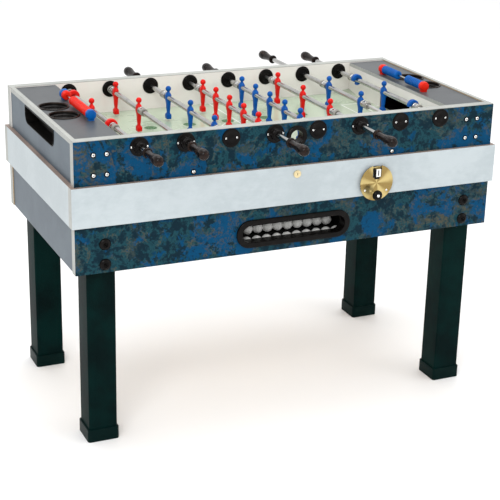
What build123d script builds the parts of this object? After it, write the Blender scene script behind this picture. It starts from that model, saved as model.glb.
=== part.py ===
from build123d import *
import os

# Coin-operated foosball table, in millimetres. X runs along the length, Y from the front side (-)
# to the rear side (+), Z up. The origin lies on the floor under the middle of the table.

os.makedirs("parts", exist_ok=True)

# ---- cabinet tiers -------------------------------------------------------------------------------
BOARD = 30.0                      # thickness of every laminated board
TOP_Z = 970.0                     # top of the rim
UPPER_LENGTH = 1400.0
UPPER_WIDTH = 730.0
UPPER_Z = 835.0                   # underside of the lift-up playing box
BAND_LENGTH = 1424.0
BAND_WIDTH = 756.0
BAND_Z = 713.0                    # underside of the pale middle band
LOWER_LENGTH = 1404.0
LOWER_WIDTH = 736.0
LOWER_Z = 566.0                   # underside of the lower box
FLOOR_BOARD = 12.0                # board that closes the lower box from below
RIM_TRIM = 2.0                    # edging strip on top of the boards
END_BOARD = 12.0                  # thickness of the playing box's end boards
TRIM_FLAP = 15.0                  # the end strips reach this far down the outside
FLAP_THICKNESS = 1.5
SETBACK = 3.0                     # end boards sit this far inside the ends of the side boards
JOINT_GAP = 0.2                   # hairline between boards of one group

UPPER_Y = UPPER_WIDTH / 2
INNER_Y = UPPER_Y - BOARD         # inner face of the playing box's long sides
BAND_Y = BAND_WIDTH / 2
LOWER_Y = LOWER_WIDTH / 2
BOARD_TOP = TOP_Z - RIM_TRIM
END_X = UPPER_LENGTH / 2 - SETBACK
END_INNER_X = END_X - END_BOARD

# ---- playing field -------------------------------------------------------------------------------
FIELD_Z = 859.0                   # playing surface
FIELD_BOARD = 10.0
WALL_X = 548.0                    # inner face of the goal walls
WALL_THICKNESS = 12.0
GOAL_HALF = 100.0
GOAL_TOP = 918.0
RAMP = 80.0                       # length of a corner ramp along each wall
RAMP_HEIGHT = 12.0
DECK_TOP = 966.0
DECK_THICKNESS = 11.0
POCKET_DEPTH = 86.0
POCKET_WALL = 3.0
POCKET_HALF = 112.0
POCKET_TOP = 932.0
POCKET_BOTTOM = 847.0
DROP_RADIUS = 23.0

# ---- rods ----------------------------------------------------------------------------------------
ROD_PITCH = 143.65
ROD_Z = 939.0
TUBE_RADIUS = 8.0
SHAFT_RADIUS = 5.5
RUNNING = 0.05                    # radial clearance of a running fit
MAN_HALF = 14.0                   # half the width of a man along his rod
STOP_HALF = 9.0                   # half the width of a keeper rod's stop
HEAD_Z = 28.5                     # centre of a man's head above the rod axis
HEAD_RADIUS = 9.3
FOOT_Z = -72.0                    # sole of a man's foot below the rod axis
NECK = [(12.0, 6.5), (HEAD_Z - 8.0, 4.5)]     # height above the axis, radius
# a man's body from the shoulders to the ankle: height above the axis, depth, width
MAN_STATIONS = [(16.0, 8.0, 13.0), (9.0, 18.0, 28.0), (0.0, 20.0, 28.0), (-18.0, 15.0, 22.0),
                (-38.0, 13.0, 19.0), (-54.0, 10.0, 15.0)]
FOOT = (17.0, 23.0)
FOOT_HEIGHT = 16.0
FOOT_CORNER = 3.0
ANKLE = (9.0, 14.0)
ANKLE_HEIGHT = 22.0
STOP_RADIUS = 19.0
COLLAR_LENGTH = 28.0
BUFFER_LENGTH = 10.0
COLLAR_RADIUS = 12.0
BUFFER_RADIUS = 12.5
HANDLE_LENGTH = 110.0
HANDLE_BORE = 96.0
# a handle from its flange to its end: distance along the rod, radius
HANDLE_PROFILE = [(0.0, 14.0), (4.0, 15.5), (8.0, 14.0), (13.0, 11.0), (30.0, 10.6), (55.0, 12.5),
                  (78.0, 15.8), (92.0, 16.6), (102.0, 14.8), (108.0, 10.0),
                  (HANDLE_LENGTH, 5.0), (HANDLE_LENGTH, 0.0)]
ANCHOR_Y = 361.0                  # blind end of a telescopic shaft, inside its side board
SHAFT_OVERLAP = 60.0              # shaft left inside the tube at full pull

# rod kinds: places of the men along the rod, outermost reach, travel either way, handle distance
KEEPER_STOP = 195.0
KINDS = {
    "keeper": {"men": [0.0], "reach": KEEPER_STOP + STOP_HALF, "travel": 84.0, "handle": 514.0},
    "two": {"men": [-115.0, 115.0], "reach": 115.0 + MAN_HALF, "travel": 160.0, "handle": 570.0},
    "three": {"men": [-199.0, 0.0, 199.0], "reach": 199.0 + MAN_HALF, "travel": 76.0, "handle": 508.0},
    "five": {"men": [-228.0, -114.0, 0.0, 114.0, 228.0], "reach": 228.0 + MAN_HALF,
             "travel": 46.0, "handle": 455.0},
}
# one entry a rod, left to right: kind, handle side (-1 front, +1 rear), place of the men at rest
RODS = [
    ("keeper", -1, 84.0),
    ("two", -1, 160.0),
    ("three", 1, -37.0),
    ("five", -1, -14.0),
    ("five", 1, -12.0),
    ("three", -1, 36.0),
    ("two", 1, 12.0),
    ("keeper", 1, 0.0),
]
ROD_X = [(i - (len(RODS) - 1) / 2) * ROD_PITCH for i in range(len(RODS))]

# ---- rod bearings --------------------------------------------------------------------------------
SLEEVE_RADIUS = 13.0
PLATE_RADIUS = 29.0
PLATE_THICKNESS = 4.0
BOSS_RADIUS = 20.0
BOSS_HEIGHT = 23.0
DISC_RADIUS = 27.5
DISC_THICKNESS = 5.0
PLATE_SCREW = 17.5                # distance of a blank plate's screws from the rod axis
BOSS_SCREW = 24.5                 # the same on the handle side, outside the boss
PLATE_SCREW_HEAD = 2.8
SERVE_Z = 924.0
SERVE_RING_RADIUS = 34.0
SERVE_SLEEVE_RADIUS = 24.0
SERVE_HOLE_RADIUS = 20.0

# ---- deck fittings -------------------------------------------------------------------------------
CUP_X = 634.5
CUP_Y = 56.0
CUP_FLANGE_RADIUS = 50.0
CUP_RADIUS = 46.5
CUP_DEPTH = 12.0
CUP_WALL = 3.0
CUP_CORNER = 4.0                  # slope between a cup's wall and its floor
RECESS_HALF = 162.0
RECESS_BOTTOM = 896.0
RECESS_TOP = 952.0
RECESS_CORNER = 30.0
RECESS_WALL = 3.0
RECESS_X = 655.0                  # back of the tub, under the deck
RECESS_LIP = 1.5                  # how far the tub's lip stands out of the end board
COUNTER_X = 575.0
COUNTER_Z = 984.0
RAIL_RADIUS = 3.0
CAP_RADIUS = 16.0
CAP_INNER_Y = 126.0
CAP_LENGTH = 22.0
BEAD_PITCH = 19.0
BEAD_LENGTH = 18.8
BEAD_RADIUS = 14.5
BEAD_GROOVE = 11.5
BEADS = 10
BEADS_LEFT_FAR = 1                # beads pushed to the rear cap, left counter
BEADS_RIGHT_FAR = 5

# ---- fasteners -----------------------------------------------------------------------------------
SCREW_SHANK = 2.0
SCREW_LENGTH = 24.0
CUP_WASHER = 8.5
SCREW_X = [-641.0, -601.0, 601.0, 641.0]
SCREW_Z = [865.0, 926.0]
LONE_SCREW_X = [-334.0, 334.0]
LONE_SCREW_Z = 846.0
BOLT_X = 611.0
BOLT_Z = [592.0, 655.0]
BOLT_SHANK = 5.0
BOLT_HEAD = 18.0
HOLE_CLEARANCE = 0.1

# ---- legs ----------------------------------------------------------------------------------------
LEG = 90.0
LEG_X = 615.0
LEG_Y = LOWER_Y - BOARD - LEG / 2
LEG_WALL = 3.0
LEG_TOP = 700.0
BOOT = 100.0
BOOT_HEIGHT = 42.0
BOOT_FLOOR = 4.0

# ---- ball tray and its window --------------------------------------------------------------------
WINDOW_Z = 630.0
WINDOW_OPENING = (350.0, 55.0)
WINDOW_FLANGE = (387.0, 89.0)
WINDOW_SLEEVE = 3.0
WINDOW_PROUD = 8.0
BALL_RADIUS = 17.0
BALL_PITCH = 34.4
FRONT_ROW = (11, -320.0, 586.2)   # number of balls, then the row's Y and Z
BACK_ROW = (10, -284.0, 615.2)
TRAY_HALF = 194.0
TRAY_BACK = -255.0
TRAY_GAP = 0.5                    # round the tray, in the floor board's notch
TRAY_TOP = 690.0
SHEET = 3.0

# ---- ball return ---------------------------------------------------------------------------------
CHANNEL_HALF = 32.0               # half the width of a sloping channel below a goal
CHANNEL_WALL = 30.0               # height of its walls
CHANNEL_HIGH = (BAND_LENGTH / 2 - BOARD, 788.0)   # outer end: distance from the middle, underside
CHANNEL_LOW = (48.0, 726.0)       # inner end
CROSS_HALF = 56.0                 # half the width of the channel that leads to the tray
CROSS_REAR = (60.0, 697.0)        # rear end: Y, underside
CROSS_FRONT = (-262.0, 690.0)     # front end, over the tray's back wall
CROSS_WALL = 31.0
POST_HALF = 15.0                  # half the width of the post under the rear end

# ---- coin mechanism, lock, hinge -----------------------------------------------------------------
COIN_X = 273.0
COIN_Z = 755.0
COIN_RADIUS = 57.5
COIN_SHEET = 3.0
COIN_STANDOFF = 8.0
KNOB_X = 261.0
KNOB_Z = 724.0
KNOB_RADIUS = 16.0
KNOB_STEM = 5.0
CASH_HALF = 68.0                  # half the length of the cash box under the coin mechanism
CASH_BACK = -190.0
CASH_TOP = 700.0
CASH_WALL = 2.0
LOCK_Z = 809.0
LOCK_RADIUS = 11.0
MORTISE_HALF = 31.0          # clears the cam's corners through the whole turn
HINGE_Y = UPPER_Y + 6.2
HINGE_Z = UPPER_Z + 6.2
HINGE_X = [-450.0, 0.0, 450.0]
KNUCKLE_RADIUS = 5.0
KNUCKLE_LENGTH = 30.0
PIN_RADIUS = 2.0
LEAF = 2.0


def write(name, builder):
    """Label one finished node and write its STEP file."""
    builder.part.label = name
    export_step(builder.part, f"parts/{name}.step")


def block(low, high, mode=Mode.ADD):
    """A box between two corners, as part of the block that calls it."""
    size = [h - l for l, h in zip(low, high)]
    centre = [(h + l) / 2 for l, h in zip(low, high)]
    with Locations(Location(tuple(centre))):
        Box(*size, mode=mode)


def turn_y(x, z, outline, mode=Mode.ADD):
    """A turned piece on the line along Y through (x, z). The outline lists (y, radius)."""
    with BuildSketch(Plane.YZ.offset(x)) as profile:
        with BuildLine():
            Polyline(*[(y, z + radius) for y, radius in outline], close=True)
        make_face()
    revolve(profile.sketch, axis=Axis((x, 0, z), (0, 1, 0)), mode=mode)


def rod_y(x, z, y0, y1, radius, mode=Mode.ADD):
    """A plain round bar along Y."""
    turn_y(x, z, [(y0, 0), (y0, radius), (y1, radius), (y1, 0)], mode)


def tube_y(x, z, y0, y1, inner, outer):
    """A plain tube along Y."""
    turn_y(x, z, [(y0, inner), (y0, outer), (y1, outer), (y1, inner)])


def stadium_slab(centre_z, length, height, y0, y1, mode=Mode.ADD):
    """A slab with full-round ends, standing in the XZ plane between two depths."""
    with BuildSketch(Plane.XZ.offset(-y0)) as outline:
        with Locations((0, centre_z)):
            SlotOverall(length, height)
    extrude(outline.sketch, amount=-(y1 - y0), mode=mode)


# ==== playing box =================================================================================

def long_side(side, with_serve_hole):
    """One long side of the playing box: side -1 is the front, +1 the rear."""
    y0 = -UPPER_Y if side < 0 else INNER_Y
    with BuildPart() as panel:
        block((-UPPER_LENGTH / 2, y0, UPPER_Z), (UPPER_LENGTH / 2, y0 + BOARD, BOARD_TOP))
        for x in ROD_X:
            rod_y(x, ROD_Z, y0 - 1, y0 + BOARD + 1, SLEEVE_RADIUS + HOLE_CLEARANCE, Mode.SUBTRACT)
        if with_serve_hole:
            rod_y(0, SERVE_Z, y0 - 1, y0 + BOARD + 1,
                  SERVE_SLEEVE_RADIUS + HOLE_CLEARANCE, Mode.SUBTRACT)
            # mortise that takes the lock's cam
            block((-MORTISE_HALF, -UPPER_Y + 15, UPPER_Z - 1),
                  (MORTISE_HALF, -INNER_Y + 1, UPPER_Z + 16), Mode.SUBTRACT)
        outer = side * UPPER_Y
        depth = outer - side * (SCREW_LENGTH + 1)
        for x, z in screw_places():
            rod_y(x, z, min(outer, depth), max(outer, depth), SCREW_SHANK + HOLE_CLEARANCE, Mode.SUBTRACT)
    return panel


def screw_places():
    """Places of the cabinet screws on a long side, as (x, z)."""
    places = [(x, z) for x in SCREW_X for z in SCREW_Z]
    return places + [(x, LONE_SCREW_Z) for x in LONE_SCREW_X]


write("upper_front_panel", long_side(-1, True))
write("upper_rear_panel", long_side(1, False))

with BuildPart() as upper_end_panels:
    for end in (-1, 1):
        x0, x1 = sorted((end * END_INNER_X, end * END_X))
        block((x0, -INNER_Y, UPPER_Z), (x1, INNER_Y, BOARD_TOP))
    with BuildSketch(Plane.YZ.offset(-END_X - 1)) as recess_opening:
        with Locations((0, (RECESS_BOTTOM + RECESS_TOP) / 2)):
            Rectangle(2 * RECESS_HALF, RECESS_TOP - RECESS_BOTTOM)
        fillet(recess_opening.vertices().group_by(Axis.Y)[0], RECESS_CORNER)
    extrude(amount=2 * END_X + 2, mode=Mode.SUBTRACT)
write("upper_end_panels", upper_end_panels)

with BuildPart() as rim_trim:
    for side in (-1, 1):
        y0, y1 = sorted((side * INNER_Y, side * UPPER_Y))
        block((-UPPER_LENGTH / 2, y0, BOARD_TOP), (UPPER_LENGTH / 2, y1, TOP_Z))
    for end in (-1, 1):
        x0, x1 = sorted((end * END_INNER_X, end * END_X))
        block((x0, -INNER_Y + JOINT_GAP, BOARD_TOP), (x1, INNER_Y - JOINT_GAP, TOP_Z))
        f0, f1 = sorted((end * END_X, end * (END_X + FLAP_THICKNESS)))
        block((f0, -INNER_Y + JOINT_GAP, TOP_Z - TRIM_FLAP), (f1, INNER_Y - JOINT_GAP, TOP_Z))
write("rim_trim", rim_trim)

with BuildPart() as end_decks:
    for end in (-1, 1):
        x0, x1 = sorted((end * WALL_X, end * END_INNER_X))
        block((x0, -INNER_Y, DECK_TOP - DECK_THICKNESS), (x1, INNER_Y, DECK_TOP))
    with BuildSketch(Plane.XY.offset(DECK_TOP)):
        with GridLocations(2 * CUP_X, 2 * CUP_Y, 2, 2):
            Circle(CUP_RADIUS + HOLE_CLEARANCE)
    extrude(amount=-DECK_THICKNESS, mode=Mode.SUBTRACT)
write("end_decks", end_decks)

with BuildPart() as goal_walls:
    for end in (-1, 1):
        x0, x1 = sorted((end * WALL_X, end * (WALL_X + WALL_THICKNESS)))
        block((x0, -INNER_Y, FIELD_Z), (x1, INNER_Y, DECK_TOP - DECK_THICKNESS))
        block((x0, -GOAL_HALF, FIELD_Z), (x1, GOAL_HALF, GOAL_TOP), Mode.SUBTRACT)
write("goal_walls", goal_walls)

with BuildPart() as playfield:
    field_x = WALL_X + WALL_THICKNESS
    block((-field_x, -INNER_Y, FIELD_Z - FIELD_BOARD), (field_x, INNER_Y, FIELD_Z))
    for end in (-1, 1):
        for side in (-1, 1):
            corner = (end * WALL_X, side * INNER_Y)
            with BuildSketch(Plane.XY.offset(FIELD_Z)) as ramp_base:
                with BuildLine():
                    Polyline(corner, (corner[0] - end * RAMP, corner[1]),
                             (corner[0], corner[1] - side * RAMP), close=True)
                make_face()
            with BuildSketch(Plane.XY.offset(FIELD_Z + RAMP_HEIGHT)) as ramp_top:
                with BuildLine():
                    Polyline(corner, (corner[0] - end * 1.0, corner[1]),
                             (corner[0], corner[1] - side * 1.0), close=True)
                make_face()
            loft()
write("playfield", playfield)

with BuildPart() as goal_pockets:
    for end in (-1, 1):
        mouth = end * (WALL_X + WALL_THICKNESS)
        back = end * (WALL_X + WALL_THICKNESS + POCKET_DEPTH)
        x0, x1 = sorted((mouth, back))
        block((x0, -POCKET_HALF, POCKET_BOTTOM), (x1, POCKET_HALF, POCKET_TOP))
        inner_back = back - end * POCKET_WALL
        i0, i1 = sorted((mouth, inner_back))
        block((i0, -POCKET_HALF + POCKET_WALL, POCKET_BOTTOM + POCKET_WALL),
              (i1, POCKET_HALF - POCKET_WALL, POCKET_TOP - POCKET_WALL), Mode.SUBTRACT)
        with BuildSketch(Plane.XY.offset(POCKET_BOTTOM)):
            with Locations((end * (WALL_X + WALL_THICKNESS + POCKET_DEPTH / 2), 0)):
                Circle(DROP_RADIUS)
        extrude(amount=POCKET_WALL, mode=Mode.SUBTRACT)
write("goal_pockets", goal_pockets)

with BuildPart() as hand_recesses:
    for end in (-1, 1):
        tub_x = end * RECESS_X
        lip_x = end * (END_X + RECESS_LIP)
        with BuildSketch(Plane.YZ.offset(tub_x)) as tub_outline:
            with Locations((0, (RECESS_BOTTOM + RECESS_TOP) / 2)):
                Rectangle(2 * RECESS_HALF, RECESS_TOP - RECESS_BOTTOM)
            fillet(tub_outline.vertices().group_by(Axis.Y)[0], RECESS_CORNER)
        extrude(amount=lip_x - tub_x)
        with BuildSketch(Plane.YZ.offset(tub_x + end * RECESS_WALL)) as hollow_outline:
            with Locations((0, (RECESS_BOTTOM + RECESS_TOP) / 2)):
                Rectangle(2 * (RECESS_HALF - RECESS_WALL), RECESS_TOP - RECESS_BOTTOM - 2 * RECESS_WALL)
            fillet(hollow_outline.vertices().group_by(Axis.Y)[0], RECESS_CORNER - RECESS_WALL)
        extrude(amount=lip_x - tub_x, mode=Mode.SUBTRACT)
write("hand_recesses", hand_recesses)

with BuildPart() as drink_cups:
    with BuildSketch(Plane.XZ) as cup_section:
        with BuildLine():
            Polyline((0, DECK_TOP - CUP_DEPTH), (CUP_RADIUS - CUP_CORNER, DECK_TOP - CUP_DEPTH),
                     (CUP_RADIUS, DECK_TOP - CUP_DEPTH + CUP_CORNER), (CUP_RADIUS, DECK_TOP),
                     (CUP_FLANGE_RADIUS, DECK_TOP), (CUP_FLANGE_RADIUS, DECK_TOP + CUP_WALL),
                     (CUP_RADIUS - CUP_WALL, DECK_TOP + CUP_WALL),
                     (CUP_RADIUS - CUP_WALL, DECK_TOP - CUP_DEPTH + CUP_CORNER + CUP_WALL),
                     (CUP_RADIUS - CUP_CORNER - CUP_WALL, DECK_TOP - CUP_DEPTH + CUP_WALL),
                     (0, DECK_TOP - CUP_DEPTH + CUP_WALL), close=True)
        make_face()
    with Locations(*[(sx * CUP_X, sy * CUP_Y, 0) for sx in (-1, 1) for sy in (-1, 1)]):
        add(revolve(cup_section.sketch, axis=Axis.Z, mode=Mode.PRIVATE))
write("drink_cups", drink_cups)

# ==== rod bearings ================================================================================

with BuildPart() as rod_bearings:
    for x, (kind, side, rest) in zip(ROD_X, RODS):
        wall, face = side * INNER_Y, side * UPPER_Y
        bore = TUBE_RADIUS + RUNNING
        # handle side: outer plate with its boss and a sleeve through the board
        turn_y(x, ROD_Z, [
            (wall, bore), (wall, SLEEVE_RADIUS), (face, SLEEVE_RADIUS), (face, PLATE_RADIUS),
            (face + side * PLATE_THICKNESS, PLATE_RADIUS),
            (face + side * PLATE_THICKNESS, BOSS_RADIUS),
            (face + side * (BOSS_HEIGHT - 6), BOSS_RADIUS - 2),
            (face + side * BOSS_HEIGHT, BOSS_RADIUS - 8),
            (face + side * BOSS_HEIGHT, bore),
        ])
        # handle side: inner disc
        tube_y(x, ROD_Z, *sorted((wall - side * DISC_THICKNESS, wall - side * JOINT_GAP)),
               bore, DISC_RADIUS)
        # blank side: inner disc with a sleeve for the telescopic shaft
        bore = SHAFT_RADIUS + RUNNING
        wall, end_y = -side * INNER_Y, -side * (ANCHOR_Y - 5)
        turn_y(x, ROD_Z, [
            (wall + side * DISC_THICKNESS, bore), (wall + side * DISC_THICKNESS, DISC_RADIUS),
            (wall, DISC_RADIUS), (wall, SLEEVE_RADIUS), (end_y, SLEEVE_RADIUS), (end_y, bore),
        ])
    for x, (kind, side, rest) in zip(ROD_X, RODS):
        y0, y1 = sorted((side * UPPER_Y, side * (UPPER_Y + PLATE_THICKNESS)))
        for dx in (-BOSS_SCREW, BOSS_SCREW):
            rod_y(x + dx, ROD_Z, y0, y1, SCREW_SHANK / 2 + HOLE_CLEARANCE, Mode.SUBTRACT)
    # blank side: closed outer plate
    for x, (kind, side, rest) in zip(ROD_X, RODS):
        y0, y1 = sorted((-side * UPPER_Y, -side * (UPPER_Y + PLATE_THICKNESS)))
        rod_y(x, ROD_Z, y0, y1, PLATE_RADIUS)
        for dx in (-PLATE_SCREW, PLATE_SCREW):
            rod_y(x + dx, ROD_Z, y0, y1, SCREW_SHANK / 2 + HOLE_CLEARANCE, Mode.SUBTRACT)
write("rod_bearings", rod_bearings)

with BuildPart() as serve_ring:
    turn_y(0, SERVE_Z, [
        (-INNER_Y - 1, SERVE_HOLE_RADIUS), (-INNER_Y - 1, SERVE_SLEEVE_RADIUS),
        (-UPPER_Y, SERVE_SLEEVE_RADIUS), (-UPPER_Y, SERVE_RING_RADIUS),
        (-UPPER_Y - 4, SERVE_RING_RADIUS), (-UPPER_Y - 7, SERVE_RING_RADIUS - 4),
        (-UPPER_Y - 7, SERVE_HOLE_RADIUS + 3), (-UPPER_Y - 4, SERVE_HOLE_RADIUS),
    ])
write("serve_ring", serve_ring)

# ==== rods ========================================================================================


def man():
    """One player, standing on the rod axis at the origin and facing along X."""
    with BuildPart() as figure:
        # head and neck
        with Locations((0, 0, HEAD_Z)):
            Sphere(HEAD_RADIUS)
        for height, radius in NECK:
            with BuildSketch(Plane.XY.offset(height)):
                Circle(radius)
        loft()
        # shoulders down to the foot
        for height, deep, wide in MAN_STATIONS:
            with BuildSketch(Plane.XY.offset(height)):
                Ellipse(deep / 2, wide / 2)
        loft(ruled=True)
        with BuildSketch(Plane.XY.offset(FOOT_Z)) as sole:
            Rectangle(*FOOT)
            fillet(sole.vertices(), FOOT_CORNER)
        extrude(amount=FOOT_HEIGHT)
        with BuildSketch(Plane.XY.offset(FOOT_Z + FOOT_HEIGHT)) as instep:
            Rectangle(*FOOT)
            fillet(instep.vertices(), FOOT_CORNER)
        with BuildSketch(Plane.XY.offset(FOOT_Z + ANKLE_HEIGHT)) as shin:
            Rectangle(*ANKLE)
            fillet(shin.vertices(), FOOT_CORNER)
        loft()
        with Locations(Rotation(90, 0, 0)):
            Cylinder(TUBE_RADIUS + RUNNING, 2 * MAN_HALF + 4, mode=Mode.SUBTRACT)
    return figure.part


def stop_ring():
    """One C-shaped stop of a keeper rod, on the rod axis at the origin."""
    with BuildPart() as ring:
        with Locations(Rotation(90, 0, 0)):
            Cylinder(STOP_RADIUS, 2 * STOP_HALF)
            Cylinder(TUBE_RADIUS + RUNNING, 2 * STOP_HALF, mode=Mode.SUBTRACT)
        block((-40, -STOP_HALF, -40), (-8, STOP_HALF, -3), Mode.SUBTRACT)
    return ring.part


figure_shape = man()
stop_shape = stop_ring()

for number, (x, (kind, side, rest)) in enumerate(zip(ROD_X, RODS), start=1):
    sizes = KINDS[kind]
    bunch = COLLAR_LENGTH + BUFFER_LENGTH
    reach = sizes["reach"] + bunch
    blank_end = rest - side * reach
    grip = rest + side * sizes["handle"]

    with BuildPart() as shaft:
        inner_end = side * (sizes["travel"] - reach + SHAFT_OVERLAP)
        rod_y(x, ROD_Z, *sorted((-side * ANCHOR_Y, inner_end)), SHAFT_RADIUS)
        rod_y(x, ROD_Z, *sorted((-side * ANCHOR_Y, -side * (ANCHOR_Y - 4))), 9.0)
    write(f"rod_{number}_shaft", shaft)

    with BuildPart() as rod:
        tube_y(x, ROD_Z, *sorted((blank_end, grip + side * HANDLE_BORE)),
               SHAFT_RADIUS + RUNNING, TUBE_RADIUS)
        bore = TUBE_RADIUS + RUNNING
        for way in (-1, 1):
            inner = rest + way * (sizes["reach"] + JOINT_GAP)
            middle = inner + way * (COLLAR_LENGTH - JOINT_GAP)
            outer = inner + way * (bunch - JOINT_GAP)
            tube_y(x, ROD_Z, *sorted((inner, middle)), bore, COLLAR_RADIUS)
            tube_y(x, ROD_Z, *sorted((middle + way * JOINT_GAP, outer)), bore, BUFFER_RADIUS)
        blind = grip + side * (HANDLE_BORE + 1)
        turn_y(x, ROD_Z, [(grip, bore)]
               + [(grip + side * along, radius) for along, radius in HANDLE_PROFILE]
               + [(blind, 0.0), (blind, bore)])
    write(f"rod_{number}", rod)

    with BuildPart() as men:
        with Locations(*[(x, rest + place, ROD_Z) for place in sizes["men"]]):
            add(figure_shape)
        if kind == "keeper":
            with Locations(*[(x, rest + way * KEEPER_STOP, ROD_Z) for way in (-1, 1)]):
                add(stop_shape)
    write(f"rod_{number}_men", men)

# ==== score counters ==============================================================================

with BuildPart() as counter_frames:
    for end in (-1, 1):
        x = end * COUNTER_X
        rod_y(x, COUNTER_Z, -CAP_INNER_Y - CAP_LENGTH + 4, CAP_INNER_Y + CAP_LENGTH - 4, RAIL_RADIUS)
    for end in (-1, 1):
        for side in (-1, 1):
            x = end * COUNTER_X
            y0, y1 = sorted((side * CAP_INNER_Y, side * (CAP_INNER_Y + CAP_LENGTH)))
            rod_y(x, COUNTER_Z, y0, y1, CAP_RADIUS)
            block((x - 9, y0 + 3, DECK_TOP), (x + 9, y1 - 3, COUNTER_Z))
write("counter_frames", counter_frames)


def beads(x, first_y, count):
    """A row of ribbed beads on a counter rail, from first_y towards the rear."""
    bore = RAIL_RADIUS + 2 * RUNNING
    with BuildPart() as row:
        for index in range(count):
            y = first_y + index * BEAD_PITCH + (BEAD_PITCH - BEAD_LENGTH) / 2
            turn_y(x, COUNTER_Z, [
                (y, bore), (y, BEAD_RADIUS - 1), (y + 1, BEAD_RADIUS), (y + 7, BEAD_RADIUS),
                (y + 8.4, BEAD_GROOVE), (y + BEAD_LENGTH - 8.4, BEAD_GROOVE),
                (y + BEAD_LENGTH - 7, BEAD_RADIUS), (y + BEAD_LENGTH - 1, BEAD_RADIUS),
                (y + BEAD_LENGTH, BEAD_RADIUS - 1), (y + BEAD_LENGTH, bore),
            ])
    return row


for name, end, far_count in (("left", -1, BEADS_LEFT_FAR), ("right", 1, BEADS_RIGHT_FAR)):
    far_start = CAP_INNER_Y - far_count * BEAD_PITCH
    write(f"{name}_far_beads", beads(end * COUNTER_X, far_start, far_count))
    write(f"{name}_near_beads", beads(end * COUNTER_X, -CAP_INNER_Y, BEADS - far_count))

# ==== fasteners of the playing box ================================================================

with BuildPart() as panel_screws:
    for side in (-1, 1):
        face = side * UPPER_Y
        for x, z in screw_places():
            turn_y(x, z, [
                (face - side * SCREW_LENGTH, 0), (face - side * SCREW_LENGTH, SCREW_SHANK),
                (face, SCREW_SHANK), (face, CUP_WASHER), (face + side * 1.5, CUP_WASHER - 0.5),
                (face + side * 3, 6.0), (face + side * 3.6, 4.0), (face + side * 3.8, 0),
            ])
    for x, (kind, side, rest) in zip(ROD_X, RODS):
        for way, offset in ((side, BOSS_SCREW), (-side, PLATE_SCREW)):
            face = way * UPPER_Y
            head = face + way * PLATE_THICKNESS
            for dx in (-offset, offset):
                turn_y(x + dx, ROD_Z, [
                    (face, 0), (face, SCREW_SHANK / 2), (head, SCREW_SHANK / 2),
                    (head, PLATE_SCREW_HEAD), (head + way, PLATE_SCREW_HEAD - 0.4),
                    (head + way * 1.6, 0),
                ])
write("panel_screws", panel_screws)

# ==== rear hinges =================================================================================

with BuildPart() as hinge_upper_leaves:
    for x in HINGE_X:
        half = 1.5 * KNUCKLE_LENGTH
        block((x - half, UPPER_Y, HINGE_Z + 6.3), (x + half, UPPER_Y + LEAF, HINGE_Z + 30))
        neck = KNUCKLE_LENGTH / 2 - 0.5
        block((x - neck, UPPER_Y, HINGE_Z), (x + neck, UPPER_Y + LEAF + 1, HINGE_Z + 7))
        with Locations(Location((x, HINGE_Y, HINGE_Z), (0, 90, 0))):
            Cylinder(KNUCKLE_RADIUS, 2 * neck)
            Cylinder(PIN_RADIUS + RUNNING, 2 * neck, mode=Mode.SUBTRACT)
write("hinge_upper_leaves", hinge_upper_leaves)

with BuildPart() as hinge_lower_leaves:
    for x in HINGE_X:
        half = 1.5 * KNUCKLE_LENGTH
        block((x - half, BAND_Y, UPPER_Z - 30), (x + half, BAND_Y + LEAF, UPPER_Z + 4))
        for way in (-1, 1):
            a, b = sorted((x + way * (KNUCKLE_LENGTH / 2 + 0.5), x + way * half))
            block((a, HINGE_Y, UPPER_Z + JOINT_GAP), (b, BAND_Y + LEAF, UPPER_Z + 4))
            with Locations(Location(((a + b) / 2, HINGE_Y, HINGE_Z), (0, 90, 0))):
                Cylinder(KNUCKLE_RADIUS, b - a)
                Cylinder(PIN_RADIUS + RUNNING, b - a, mode=Mode.SUBTRACT)
        with Locations(Location((x, HINGE_Y, HINGE_Z), (0, 90, 0))):
            Cylinder(PIN_RADIUS, 2 * half)
write("hinge_lower_leaves", hinge_lower_leaves)

# ==== band and lower box ==========================================================================

with BuildPart() as band_panels:
    for side in (-1, 1):
        y0, y1 = sorted((side * (BAND_Y - BOARD), side * BAND_Y))
        block((-BAND_LENGTH / 2, y0, BAND_Z), (BAND_LENGTH / 2, y1, UPPER_Z))
    for end in (-1, 1):
        x0, x1 = sorted((end * (BAND_LENGTH / 2 - BOARD), end * BAND_LENGTH / 2))
        inner = BAND_Y - BOARD - JOINT_GAP
        block((x0, -inner, BAND_Z), (x1, inner, UPPER_Z))
    rod_y(0, LOCK_Z, -BAND_Y, -BAND_Y + BOARD, LOCK_RADIUS, Mode.SUBTRACT)
    rod_y(KNOB_X, KNOB_Z, -BAND_Y, -BAND_Y + BOARD, KNOB_STEM + RUNNING, Mode.SUBTRACT)
write("band_panels", band_panels)


def lower_side(side):
    """One long side of the lower box, with its leg bolt holes."""
    y0, y1 = sorted((side * (LOWER_Y - BOARD), side * LOWER_Y))
    with BuildPart() as panel:
        block((-LOWER_LENGTH / 2, y0, LOWER_Z), (LOWER_LENGTH / 2, y1, BAND_Z))
        for end in (-1, 1):
            for z in BOLT_Z:
                rod_y(end * BOLT_X, z, y0, y1, BOLT_SHANK + HOLE_CLEARANCE, Mode.SUBTRACT)
        if side < 0:
            stadium_slab(WINDOW_Z, WINDOW_OPENING[0] + 2 * WINDOW_SLEEVE + JOINT_GAP,
                         WINDOW_OPENING[1] + 2 * WINDOW_SLEEVE + JOINT_GAP, y0, y1, Mode.SUBTRACT)
    return panel


write("lower_front_panel", lower_side(-1))
write("lower_rear_panel", lower_side(1))

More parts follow.
